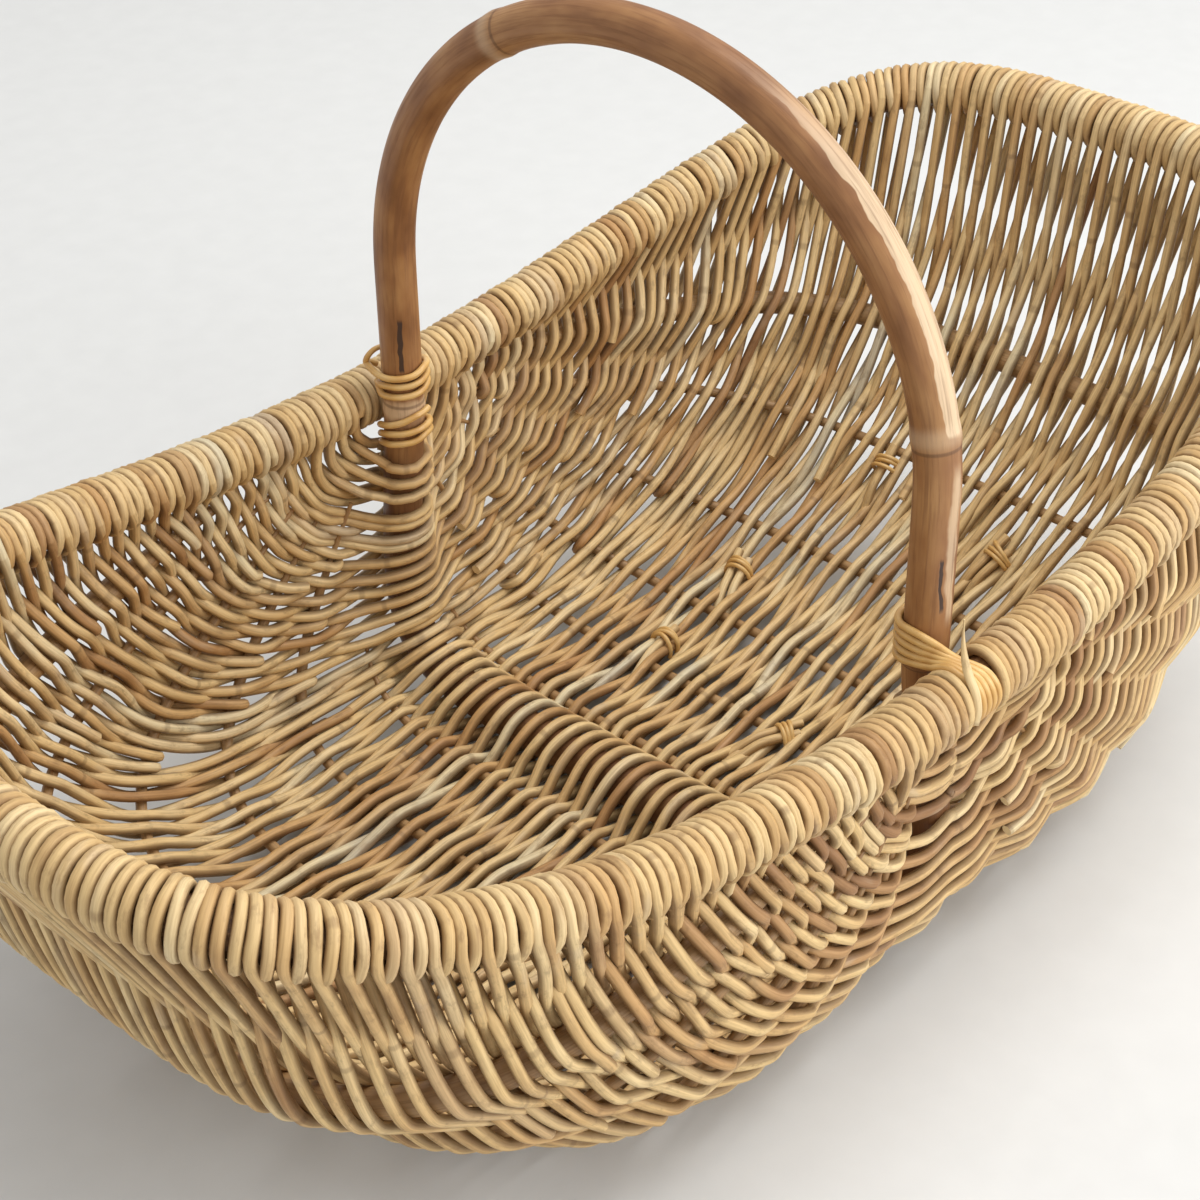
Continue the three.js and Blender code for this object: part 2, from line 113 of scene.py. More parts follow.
def line_size(number):
    side = math.copysign(1, number)
    line = abs(number)
    turn = math.sin(math.pi / 2 * line / RIM_LINE)
    size = {
        "reach": 0.0,
        "drop": HANDLE_DROP,
        "lift": 0.0,
        "half_width": LEG_HALF_WIDTH + (RIM_HALF_WIDTH - LEG_HALF_WIDTH) * turn,
        "splay": LEG_SPLAY * (1 - (line / RIM_LINE) ** 2),
        "squareness": FLOOR_SQUARENESS + (RIM_SQUARENESS - FLOOR_SQUARENESS) * turn**2,
    }
    if 0 < line < RIM_LINE:
        size["reach"] = side * RIB_REACH[line - 1]
        size["drop"] = FLOOR_RIB_DROP - RIB_RISE[line - 1]
    if line == RIM_LINE:
        size.update(reach=side * RIM_HALF_LENGTH, drop=0.0, lift=RIM_END_LIFT)
    return size


LINE_SIZES = [line_size(number) for number in range(-RIM_LINE, RIM_LINE + 1)]


def levelled_slope(before, after):
    return 2 * before * after / (before + after) if before * after > 0 else 0.0


def size_at(name, place):
    """One of the lines' sizes at a place between them, on a smooth curve that doesn't overshoot."""
    values = [size[name] for size in LINE_SIZES]
    index = min(max(math.floor(place) + RIM_LINE, 0), 2 * RIM_LINE - 1)
    step = place + RIM_LINE - index
    low, high = values[index], values[index + 1]
    change = high - low
    before = low - values[index - 1] if index > 0 else change
    after = values[index + 2] - high if index + 2 < len(values) else change
    slope_low = levelled_slope(before, change)
    slope_high = levelled_slope(change, after)
    return (
        low * (2 * step**3 - 3 * step**2 + 1)
        + slope_low * (step**3 - 2 * step**2 + step)
        + high * (3 * step**2 - 2 * step**3)
        + slope_high * (step**3 - step**2)
    )


def path_distance(points):
    steps = np.linalg.norm(np.diff(points, axis=0), axis=1)
    return np.concatenate([[0], np.cumsum(steps)])


def fan_line(place):
    """Points from the near ear to the far one, with the distance along them."""
    angle = np.pi * (SHARES - 0.5)
    across = np.maximum(np.cos(angle), 0)
    along = np.sin(angle)
    n = size_at("squareness", place)
    size = (across**n + np.abs(along) ** n) ** (-1 / n)
    out = across * size
    x = size_at("reach", place) * out
    y = (size_at("half_width", place) + size_at("splay", place) * out) * along * size
    z = size_at("lift", place) * out**2 - size_at("drop", place) * out + RIM_HEIGHT
    points = np.stack([x, y, z], axis=1)
    return points, path_distance(points)


def interp_rows(at, known, rows):
    """np.interp for each column of rows."""
    return np.stack([np.interp(at, known, column) for column in rows.T], axis=1)


def surface_grid():
    grid, lengths = [], []
    for place in PLACES:
        points, distance = fan_line(place)
        lengths.append(distance[-1])
        grid.append(interp_rows(SHARES * distance[-1], distance, points))
    return np.array(grid), np.array(lengths)


SURFACE, LINE_LENGTHS = surface_grid()


def unit(vectors):
    return vectors / np.maximum(np.linalg.norm(vectors, axis=-1, keepdims=True), 1e-12)


OUTWARD = unit(np.cross(np.gradient(SURFACE, axis=1), np.gradient(SURFACE, axis=0)))


def sample(grid, place, share):
    row = np.clip((np.asarray(place) + RIM_LINE) * PLACE_STEPS, 0, len(PLACES) - 1.000001)
    column = np.clip(np.asarray(share) * (len(SHARES) - 1), 0, len(SHARES) - 1.000001)
    r, c = row.astype(int), column.astype(int)
    a, b = (row - r)[..., None], (column - c)[..., None]
    low = grid[r, c] * (1 - b) + grid[r, c + 1] * b
    high = grid[r + 1, c] * (1 - b) + grid[r + 1, c + 1] * b
    return low * (1 - a) + high * a


def surface_point(place, share):
    return sample(SURFACE, place, share)


def surface_outward(place, share):
    return unit(sample(OUTWARD, place, share))


def smoothstep(value, low=0.0, high=1.0):
    t = np.clip((value - low) / (high - low), 0, 1)
    return t * t * (3 - 2 * t)


def line_length(place):
    return float(np.interp(place, PLACES, LINE_LENGTHS))


HOOP_LENGTH = line_length(0)
RIM_LENGTH = line_length(RIM_LINE)
RIM_MIDDLE = np.concatenate([SURFACE[0], SURFACE[-1]])


def rib_start(line):
    """The share where there is first room for a rib and the weave, beside the line before and the rim."""
    before = HANDLE_RADIUS if line == 1 else RIB_RADIUS[line - 2]
    opening = before + RIB_RADIUS[line - 1] + 4 * CANE_RADIUS + 2 * WEAVE_CLEARANCE
    if line == 1:
        opening += 2 * CANE_RADIUS
    beside = 1.6 * CANE_RADIUS + RIB_RADIUS[line - 1] + WRAP_RADIUS
    share = 0.02
    while share < 0.4:
        point = surface_point(line, share)
        apart = np.linalg.norm(point - surface_point(line - 1, share))
        to_rim = np.linalg.norm(RIM_MIDDLE - point, axis=1).min()
        if apart > opening and to_rim > beside:
            break
        share += 0.002
    return share


RIB_STARTS = [rib_start(line) for line in range(1, RIM_LINE)]
# The thin ribs bend and flatten under the weave, and show this share of their size.
THIN_RIB = 0.8


def rib_radius(line, share):
    start = RIB_STARTS[line - 1]
    from_end = np.minimum(share - start, 1 - start - share) * line_length(line)
    size = RIB_RADIUS[line - 1] * (1.0 if line == RIM_LINE - 1 else THIN_RIB)
    return size * (RIB_TIP_SHARE + (1 - RIB_TIP_SHARE) * smoothstep(from_end, 0, RIB_TAPER))


def cane_rings(path, first, radius, sides=8, closed=False):
    """Rings of points along a path, with the direction first at angle 0, and where each point is on the
    straight cane."""
    if closed:
        heading = unit(np.roll(path, -1, axis=0) - np.roll(path, 1, axis=0))
    else:
        heading = unit(np.gradient(path, axis=0))
    first = unit(first - heading * np.sum(first * heading, axis=1, keepdims=True))
    second = np.cross(heading, first)
    angle = np.arange(sides) / sides * 2 * np.pi
    radius = np.broadcast_to(np.asarray(radius, float), (len(path),))[:, None]
    forth, aside = np.cos(angle) * radius, np.sin(angle) * radius
    points = path[:, None] + first[:, None] * forth[..., None] + second[:, None] * aside[..., None]
    along = np.broadcast_to(path_distance(path)[:, None], forth.shape)
    return points, np.stack([along, forth, aside], axis=-1)


class Shape:
    """Round canes gathered into one mesh. Each point keeps where it is on the straight cane, and the cane's
    own tone, its spread, and how pale it is: 0 in the weave, 1 on the rim, paler partly as painted light, and
    2 on a cut end."""

    def __init__(self):
        self.points, self.grain, self.tone = [], [], []
        self.corners, self.totals = [], []
        self.count = 0

    def tube(self, path, first, radius, sides=8, tone=(0.5, 0.5, 0.0), closed=False, caps=(False, False)):
        points, grain = cane_rings(path, first, radius, sides, closed)
        self.rings(points, grain, tone, closed, caps)

    def rings(self, points, grain, tone, closed=False, caps=(False, False)):
        count, sides = points.shape[:2]
        tone = np.broadcast_to(np.asarray(tone, float), (count, 3))
        low = np.arange(count if closed else count - 1)[:, None]
        high = (low + 1) % count
        here = np.arange(sides)[None]
        turn = (here + 1) % sides
        corners = [low * sides + here, low * sides + turn, high * sides + turn, high * sides + here]
        quads = np.stack(corners, axis=-1).reshape(-1, 4)
        self.add(points.reshape(-1, 3), grain.reshape(-1, 3), np.repeat(tone, sides, axis=0), quads)
        for end, wanted in ((0, caps[0]), (-1, caps[1])):
            if wanted:
                cut = np.tile([tone[end, 0], tone[end, 1], 2.0], (sides, 1))
                self.add(points[end], grain[end], cut, here if end else here[:, ::-1])

    def strip(self, path, half_width, half_thickness, tone):
        """A flat strip along path that faces the camera's side of the basket."""
        heading = unit(np.gradient(path, axis=0))
        across = unit(np.cross(heading, np.array([-0.6, -0.6, 0.5])))
        face = np.cross(across, heading)
        along = path_distance(path)
        ring, grain = [], []
        for a, b in [(-1, -1), (0, -1.3), (1, -1), (1, 1), (0, 1.3), (-1, 1)]:
            ring.append(across * (half_width * a)[:, None] + face * half_thickness * b)
            grain.append(np.stack([along, half_width * a, np.full(len(path), b)], axis=1))
        self.rings(path[:, None] + np.stack(ring, axis=1), np.stack(grain, axis=1), tone, caps=(True, True))

    def add(self, points, grain, tone, faces):
        self.points.append(points * METRES)
        self.grain.append(grain * METRES)
        self.tone.append(tone)
        self.corners.append((faces + self.count).ravel())
        self.totals.append(np.full(len(faces), faces.shape[1]))
        self.count += len(points)

    def build(self, name, material, slot, nodes=()):
        points = np.concatenate(self.points)
        corners = np.concatenate(self.corners).astype(np.int32)
        totals = np.concatenate(self.totals).astype(np.int32)
        starts = np.concatenate([[0], np.cumsum(totals)[:-1]]).astype(np.int32)
        mesh = bpy.data.meshes.new(name)
        mesh.vertices.add(len(points))
        mesh.vertices.foreach_set("co", points.astype(np.float32).ravel())
        mesh.loops.add(len(corners))
        mesh.loops.foreach_set("vertex_index", corners)
        mesh.polygons.add(len(totals))
        mesh.polygons.foreach_set("loop_start", starts)
        mesh.polygons.foreach_set("loop_total", totals)
        mesh.update(calc_edges=True)
        mesh.polygons.foreach_set("use_smooth", totals == 4)
        for label, values in (("grain", self.grain), ("tone", self.tone)):
            attribute = mesh.attributes.new(label, "FLOAT_VECTOR", "POINT")
            attribute.data.foreach_set("vector", np.concatenate(values).astype(np.float32).ravel())
        mesh.validate()
        mesh.materials.append(material)
        piece = bpy.data.objects.new(name, mesh)
        bpy.context.scene.collection.objects.link(piece)
        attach(piece, "root")
        if nodes:
            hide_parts(*nodes)


def srgb(red, green, blue):
    def linear(value):
        value /= 255
        return value / 12.92 if value <= 0.04045 else ((value + 0.055) / 1.055) ** 2.4

    return (linear(red), linear(green), linear(blue), 1.0)


class Nodes:
    """Short names for making a node material."""

    def __init__(self, name):
        self.material = bpy.data.materials.new(name)
        self.material.use_nodes = True
        self.tree = self.material.node_tree
        self.tree.nodes.clear()
        output = self.tree.nodes.new("ShaderNodeOutputMaterial")
        self.shader = self.tree.nodes.new("ShaderNodeBsdfPrincipled")
        self.tree.links.new(self.shader.outputs[0], output.inputs[0])

    def node(self, kind, *values):
        node = self.tree.nodes.new(kind)
        for value, socket in zip(values, node.inputs):
            self.link(value, socket)
        return node

    def link(self, source, target):
        if isinstance(source, (int, float, tuple)):
            target.default_value = source
        else:
            self.tree.links.new(source, target)

    def attribute(self, name):
        node = self.node("ShaderNodeAttribute")
        node.attribute_name = name
        return node.outputs["Vector"]

    def place(self):
        return self.node("ShaderNodeTexCoord").outputs["Object"]

    def split(self, vector):
        return self.node("ShaderNodeSeparateXYZ", vector).outputs

    def join(self, x, y, z):
        return self.node("ShaderNodeCombineXYZ", x, y, z).outputs[0]

    def math(self, operation, *values):
        node = self.node("ShaderNodeMath", *values)
        node.operation = operation
        return node.outputs[0]

    def times(self, first, second):
        return self.math("MULTIPLY", first, second)

    def plus(self, first, second):
        return self.math("ADD", first, second)

    def minus(self, first, second):
        return self.math("SUBTRACT", first, second)

    def apart(self, first, second):
        return self.math("ABSOLUTE", self.minus(first, second))

    def vector(self, operation, first, second):
        node = self.node("ShaderNodeVectorMath", first, second)
        node.operation = operation
        return node.outputs[0]

    def noise(self, vector, scale, detail=2.0, roughness=0.5, stretch=None):
        if stretch:
            vector = self.vector("MULTIPLY", vector, stretch)
        node = self.node("ShaderNodeTexNoise", vector)
        node.inputs["Scale"].default_value = scale
        node.inputs["Detail"].default_value = detail
        node.inputs["Roughness"].default_value = roughness
        return node.outputs["Fac"]

    def ramp(self, value, stops):
        node = self.node("ShaderNodeValToRGB", value)
        elements = node.color_ramp.elements
        while len(elements) < len(stops):
            elements.new(0.5)
        for element, (position, color) in zip(elements, stops):
            element.position = position
            element.color = srgb(*color)
        return node.outputs[0]

    def between(self, value, low, high, out_low=0.0, out_high=1.0, smooth=True):
        node = self.node("ShaderNodeMapRange", value, low, high, out_low, out_high)
        node.interpolation_type = "SMOOTHSTEP" if smooth else "LINEAR"
        return node.outputs[0]

    def mix(self, factor, first, second):
        node = self.tree.nodes.new("ShaderNodeMix")
        node.data_type = "RGBA"
        # The colours of this node are its inputs 6 and 7.
        for value, number in ((factor, 0), (first, 6), (second, 7)):
            self.link(value, node.inputs[number])
        return node.outputs[2]

    def tint(self, color, other, value, low, high, at_low=0.0, at_high=1.0):
        """Another colour mixed in, by at_low to at_high as the value goes from low to high."""
        return self.mix(self.between(value, low, high, at_low, at_high), color, other)

    def finish(self, color, fine, smoothest, roughest, height, strength, distance):
        """Roughness follows the fine noise, and the bump a height."""
        self.link(color, self.shader.inputs["Base Color"])
        self.link(self.between(fine, 0.3, 0.7, smoothest, roughest), self.shader.inputs["Roughness"])
        bump = self.node("ShaderNodeBump")
        bump.inputs["Strength"].default_value = strength
        bump.inputs["Distance"].default_value = distance
        self.link(height, bump.inputs["Height"])
        self.link(bump.outputs[0], self.shader.inputs["Normal"])
        return self.material


WEAVE_STOPS = [
    (0.00, (154, 112, 71)),
    (0.18, (184, 142, 92)),
    (0.36, (208, 171, 115)),
    (0.55, (222, 190, 133)),
    (0.74, (230, 203, 152)),
    (0.90, (222, 206, 166)),
    (1.00, (202, 190, 162)),
]
# The rim's colours, partly the cane's own and partly painted light on the lit top of the basket.
RIM_STOPS = [
    (0.00, (172, 132, 84)),
    (0.20, (194, 157, 102)),
    (0.45, (209, 177, 122)),
    (0.70, (221, 194, 144)),
    (0.90, (216, 200, 162)),
    (1.00, (194, 182, 154)),
]
# Dark colours of the weave and of the rim, for the canes' streaks, spots and node lines, and for the painted
# shade on their sides where they meet their neighbours.
WEAVE_STREAK_AND_SHADE = srgb(100, 68, 37)
RIM_STREAK_AND_SHADE = srgb(112, 76, 42)
RUDDY = srgb(190, 138, 80)
DUSKY = srgb(184, 158, 130)
WORN_BROWN = srgb(154, 117, 72)
WORN_GREY = srgb(190, 170, 144)
CUT_END = srgb(228, 206, 160)
# How noise is stretched along the grain into streaks, and a little into spots.
STREAKS = (0.05, 1.0, 1.0)
RIB_STREAKS = (0.04, 1.0, 1.0)
SPOTS = (0.5, 1.0, 1.0)


def cane_material():
    """Round cane: a tone for each cane, streaks along it, node rings, and painted shade on its sides where it
    meets its neighbours. On the rim it is paler, partly its own colour and partly painted light."""
    m = Nodes("cane")
    grain = m.attribute("grain")
    along, _, aside = m.split(grain)
    tone, spread, pale = m.split(m.attribute("tone"))
    own = m.vector("ADD", grain, m.join(m.times(spread, 9.0), spread, tone))
    slow = m.noise(own, 16.0, stretch=(1.0, 0.3, 0.3))
    fine = m.noise(own, 900.0, 3.0, 0.6, STREAKS)
    blotch = m.noise(own, 190.0, 4.0, 0.65, SPOTS)
    worn = m.noise(own, 42.0, 3.0, 0.6, SPOTS)
    # Partly painted light: on the rim the cane takes the rim's colours and its lighter dark colour.
    on_rim = m.between(pale, 0.0, 1.0, smooth=False)
    shade = m.plus(tone, m.times(m.minus(slow, 0.5), 0.85))
    color = m.mix(on_rim, m.ramp(shade, WEAVE_STOPS), m.ramp(shade, RIM_STOPS))
    color = m.tint(color, RUDDY, spread, 0.75, 0.97, 0.0, 0.30)
    color = m.tint(color, DUSKY, spread, 0.03, 0.22, 0.30, 0.0)
    color = m.tint(color, WORN_BROWN, worn, 0.55, 0.72, 0.0, 0.50)
    color = m.tint(color, WORN_GREY, worn, 0.28, 0.42, 0.40, 0.0)
    streak_and_shade = m.mix(on_rim, WEAVE_STREAK_AND_SHADE, RIM_STREAK_AND_SHADE)
    color = m.tint(color, streak_and_shade, fine, 0.35, 0.72, 0.0, 0.30)
    color = m.tint(color, streak_and_shade, blotch, 0.52, 0.74, 0.0, 0.40)
    rings = m.plus(m.times(along, m.plus(m.times(spread, 2.2), 2.6)), spread)
    off_ring = m.apart(m.math("FRACT", rings), 0.5)
    line = m.between(off_ring, 0.003, 0.010, 1.0, 0.0)
    color = m.tint(color, CUT_END, off_ring, 0.010, 0.055, 0.10, 0.0)
    color = m.mix(m.times(line, 0.35), color, streak_and_shade)
    # Painted shade: a cane's sides, where it meets its neighbours, are darkened towards the dark colour.
    side = m.math("DIVIDE", m.math("ABSOLUTE", aside), CANE_RADIUS * METRES)
    color = m.tint(color, streak_and_shade, side, 0.5, 1.0, 0.0, 0.6)
    color = m.tint(color, CUT_END, pale, 1.4, 1.6)
    height = m.plus(m.times(fine, 0.5), m.times(line, -0.6))
    return m.finish(color, fine, 0.52, 0.72, height, 0.35, 0.0004)


def thin_cane_material(name, slow_scale, stops, streak, stretch, darkness, roughness, bump):
    """Cane of one tone with dark streaks. Roughness is a range, and bump a strength and a distance."""
    m = Nodes(name)
    grain = m.attribute("grain")
    fine = m.noise(grain, 900.0, 3.0, 0.6, stretch)
    color = m.ramp(m.noise(grain, slow_scale), stops)
    color = m.tint(color, streak, fine, 0.4, 0.75, 0.0, darkness)
    return m.finish(color, fine, *roughness, fine, *bump)


POLE_STOPS = [(0.3, (119, 76, 41)), (0.5, (148, 102, 60)), (0.72, (172, 127, 79))]
POLE_PALE = srgb(226, 200, 164)
POLE_DARK = srgb(74, 44, 24)
POLE_STREAK = srgb(104, 62, 32)
CRACK = srgb(58, 42, 36)
# Where the pole's nodes are, in metres along it.
POLE_NODES = (0.058, 0.352, 0.705, 0.985, 1.337)


def pole_material():
    """The rattan pole: lengthwise grain, nodes, a peeled strip down the near side, a worn band at the far
    lashing, a paler stripe by the near ear, dry cracks, and a darker part below the weave that is partly
    painted shade and partly dust. Along the pole, the near ear is at 0, and the far one at 0.7 m."""
    m = Nodes("rattan_pole")
    grain = m.attribute("grain")
    along, forth, aside = m.split(grain)
    fine = m.noise(grain, 420.0, 4.0, 0.65, STREAKS)
    slow = m.noise(grain, 60.0, 3.0, stretch=(0.4, 1.0, 1.0))
    ragged = m.times(m.minus(m.noise(grain, 55.0), 0.5), 0.7)
    away = m.plus(m.math("ARCTAN2", m.times(aside, -1.0), m.times(forth, -1.0)), ragged)
    reach = m.plus(along, m.times(ragged, 0.03))

    def patch(start, stop, fade, left, right, edge):
        """Between two distances along the pole and two angles round it, each with a soft edge."""
        ends = m.times(m.between(reach, start, start + fade), m.between(reach, stop - fade, stop, 1.0, 0.0))
        sides = m.times(m.between(away, left, left + edge), m.between(away, right - edge, right, 1.0, 0.0))
        return m.times(ends, sides)

    peeled = m.times(patch(1.13, 1.334, 0.004, -1.35, 0.48, 0.06), m.between(reach, 1.13, 1.23))
    # A paler stripe on the pole between its last node and the near ear.
    pale_stripe = patch(1.345, 1.44, 0.012, -0.35, 0.36, 0.2)
    lash_worn = patch(0.698, 0.712, 0.004, -3.2, 3.2, 0.05)
    hand_crack = patch(1.392, 1.430, 0.004, 0.40, 0.62, 0.05)
    ear_crack = patch(0.728, 0.764, 0.004, 2.26, 2.55, 0.04)
    cracks = m.plus(hand_crack, ear_crack)
    color = m.ramp(slow, POLE_STOPS)
    for part, strength in ((peeled, 0.75), (pale_stripe, 0.5), (lash_worn, 0.55)):
        color = m.mix(m.times(part, strength), color, POLE_PALE)
    color = m.tint(color, POLE_STREAK, fine, 0.45, 0.72, 0.0, 0.5)
    color = m.mix(m.times(cracks, 0.95), color, CRACK)
    for node in POLE_NODES:
        color = m.tint(color, POLE_PALE, m.apart(along, node - 0.005), 0.001, 0.008, 0.28, 0.0)
        color = m.tint(color, POLE_DARK, m.apart(along, node + 0.002), 0.0004, 0.0014, 0.5, 0.0)
    # Painted shade and dust: the pole is darker along the floor, below the weave.
    below = m.times(m.between(along, 0.012, 0.035), m.between(along, 0.665, 0.69, 1.0, 0.0))
    color = m.mix(m.times(below, 0.5), color, POLE_DARK)
    return m.finish(color, fine, 0.40, 0.6, m.minus(fine, m.times(cracks, 0.8)), 0.35, 0.0006)


def core_material():
    """The rim hoop under the wrapping: plain brown cane."""
    m = Nodes("rim_hoop")
    fine = m.noise(m.place(), 420.0, 3.0, 0.6)
    color = m.ramp(fine, [(0.3, (92, 60, 34)), (0.5, (124, 86, 50)), (0.7, (150, 110, 68))])
    return m.finish(color, fine, 0.5, 0.7, fine, 0.3, 0.0005)


RIB_STOPS = [(0.25, (138, 104, 64)), (0.5, (168, 130, 84)), (0.75, (190, 154, 106))]
LASHING_STOPS = [(0.3, (192, 144, 80)), (0.5, (212, 170, 102)), (0.72, (226, 192, 132))]
LASHING_STREAK = srgb(130, 82, 34)
cane = cane_material()
rib_cane = thin_cane_material(
    "rib_cane", 24.0, RIB_STOPS, WEAVE_STREAK_AND_SHADE, RIB_STREAKS, 0.45, (0.45, 0.6), (0.3, 0.0004)
)
pole = pole_material()
rim_hoop = core_material()
lashing_cane = thin_cane_material(
    "lashing_cane", 60.0, LASHING_STOPS, LASHING_STREAK, STREAKS, 0.35, (0.34, 0.5), (0.25, 0.0003)
)


def resample(path, step):
    """A closed path's points, about a step apart."""
    path = np.concatenate([path, path[:1]])
    distance = path_distance(path)
    wanted = np.linspace(0, distance[-1], int(round(distance[-1] / step)) + 1)[:-1]
    return interp_rows(wanted, distance, path)


def smooth(values, sigma, closed=False):
    """A Gaussian mean over neighbours, with sigma in steps."""
    reach = int(math.ceil(3 * sigma))
    weights = np.exp(-0.5 * (np.arange(-reach, reach + 1) / sigma) ** 2)
    weights /= weights.sum()
    mode = "wrap" if closed else "reflect"
    padded = np.pad(values, [(reach, reach)] + [(0, 0)] * (values.ndim - 1), mode=mode)
    if not closed:
        padded[:reach] = 2 * values[0] - padded[:reach]
        padded[-reach:] = 2 * values[-1] - padded[-reach:]
    if values.ndim == 1:
        return np.convolve(padded, weights, mode="valid")
    return np.stack([np.convolve(column, weights, mode="valid") for column in padded.T], axis=1)


# The pole is a little thinner than the CAD's between its nodes, which stand out. A node's swelling is in
# millimetres, and its length and how far it sits before the node's line are in metres along the pole.
POLE_SLIM = 0.4
NODE_SWELL = 0.7
NODE_LENGTH = 0.005
NODE_LEAD = 0.003


def handle_path():
    angle = np.linspace(0, np.pi, 121)
    y = LEG_HALF_WIDTH * np.cos(angle)
    z = RIM_HEIGHT + HANDLE_STRAIGHT_LEG + LEG_HALF_WIDTH * np.sin(angle)
    arch = np.stack([np.zeros_like(angle), y, z], axis=1)
    path = resample(np.concatenate([surface_point(0.0, SHARES), arch]), 2.0)
    return smooth(path, 3.0, closed=True)


def add_handle():
    path = handle_path()
    heading = unit(np.roll(path, -1, axis=0) - np.roll(path, 1, axis=0))
    first = -np.cross(heading, np.array([1.0, 0.0, 0.0]))
    along = path_distance(path) * METRES
    radius = np.full(len(path), HANDLE_RADIUS - POLE_SLIM)
    for node in POLE_NODES:
        radius += NODE_SWELL * np.exp(-(((along - node + NODE_LEAD) / NODE_LENGTH) ** 2))
    shape = Shape()
    shape.tube(path, first, radius, sides=32, closed=True)
    shape.build("handle", pole, "pole", ["handle_hoop"])


add_handle()
for core_slot in bpy.data.objects["rim_core"].material_slots:
    core_slot.material = rim_hoop


# A rib's ends reach this share further into the weave than its CAD solid's, and its rings are this far apart.
RIB_OVERREACH = 0.012
RIB_STEP = 6


def add_rib(side, line):
    start = RIB_STARTS[line - 1] - RIB_OVERREACH
    shares = np.linspace(start, 1 - start, int(line_length(line) / RIB_STEP))
    path = surface_point(side * line, shares)
    radius = rib_radius(line, np.clip(shares, RIB_STARTS[line - 1], 1 - RIB_STARTS[line - 1]))
    tone = (rng.random(), rng.random(), 0.0)
    shape = Shape()
    shape.tube(path, surface_outward(side * line, shares), radius, sides=12, tone=tone, caps=(True, True))
    label = "left" if side < 0 else "right"
    shape.build(f"rib_{label}_{line}_cane", rib_cane, "rib_cane", [f"rib_{label}_{line}"])


for rib_side in (-1, 1):
    for rib_line in range(1, RIM_LINE):
        add_rib(rib_side, rib_line)


# Distances from row to row down the handle's legs, on the floor, over the last rib and round the rim.
LEG_PITCH = 4.85
FLOOR_PITCH = 5.5
RIB_PITCH = 5.0
TURN_PITCH = 5.65
# The legs' distance changes to the floor's between these two, along the hoop from an ear.
LEG_END = (135, 195)
# The rows over the last rib leave this much of it free at each ear.
EAR_MARGIN = 28.0
# How far the first weavers are from the ears, along the hoop.
FIRST_WEAVER = 20.8
LAST_WEAVER = 27.6
# How far a row's middle is from the middle of the rim's core, and from that of the handle hoop.
WRAP_PATH_RADIUS = RIM_CORE_RADIUS + CLEARANCE + CANE_RADIUS
CROSSING_GAP = 0.15
HOOP_PATH_RADIUS = HANDLE_RADIUS + CANE_RADIUS + CROSSING_GAP

# Along the rim, the rows begin this far from an ear, the turns of the wrapping fill in before them, and
# the rim's core is bare beside the ear.
EAR_GAP = {(1, "near"): 10.0, (-1, "near"): 30.0, (1, "far"): 20.0, (-1, "far"): 20.0}
EAR_BARE = {(1, "near"): 3.0, (-1, "near"): 21.0, (1, "far"): 0.0, (-1, "far"): 0.0}
# Beside the near ear the turns lean: inside the rim they are this far further to the right.
EAR_LEAN = {-1: 10.0, 1: 6.0}
EAR_LEAN_REACH = 45.0

# Most fill-in rows come in where the walls spread apart, beside this part of the handle hoop, and the rest
# on the floor. By each line from the hoop outwards, this share of the walls' ones has come in.
WALL_SHARE = 0.77
FILLED_BY = [0.0, 0.04, 0.22, 0.42, 0.62, 0.84, 1.0, 1.0]
WALL_FILL = (0.135, 0.25)
FLOOR_FILL = (0.2, 0.8)
FLOOR_FILL_LINES = [3, 4, 4, 5, 5]
WALL_CUTS = 0.3
FLOOR_CUTS = 0.6
# Steps of this size spread the walls' ones over the lines, and each starts this far inside its rib's end.
GOLDEN_STEP = 0.618034
RIB_END_MARGIN = 0.045
# The share of a row's room that a row takes where it turns back round a rib.
TURN_WIDTH = 0.6

# Rows are a little thicker beside the handle hoop than on the end walls, which begin and are fully there
# this far from the middle, and thinnest round the rim.
MIDDLE_SWELL = 0.11
END_SWELL = 0.06
END_WALL = (220, 330)
# Over the pole on the floor, below this height, the rows rise in wide humps.
HUMP_HEIGHT = 45.0


def hoop_distances():
    """How far along the handle hoop each weaver crosses it."""
    distance = np.linspace(FIRST_WEAVER, HOOP_LENGTH - LAST_WEAVER, 2000)
    from_ear = np.minimum(distance, HOOP_LENGTH - distance)
    pitch = LEG_PITCH + (FLOOR_PITCH - LEG_PITCH) * smoothstep(from_ear, *LEG_END)
    count = np.concatenate([[0], np.cumsum(np.diff(distance) / pitch[1:])])
    total = 2 * int(round(count[-1] / 2)) - 1
    return np.interp(np.arange(total + 1) * count[-1] / total, count, distance)


HOOP_SHARES = hoop_distances() / HOOP_LENGTH
WEAVERS = len(HOOP_SHARES)


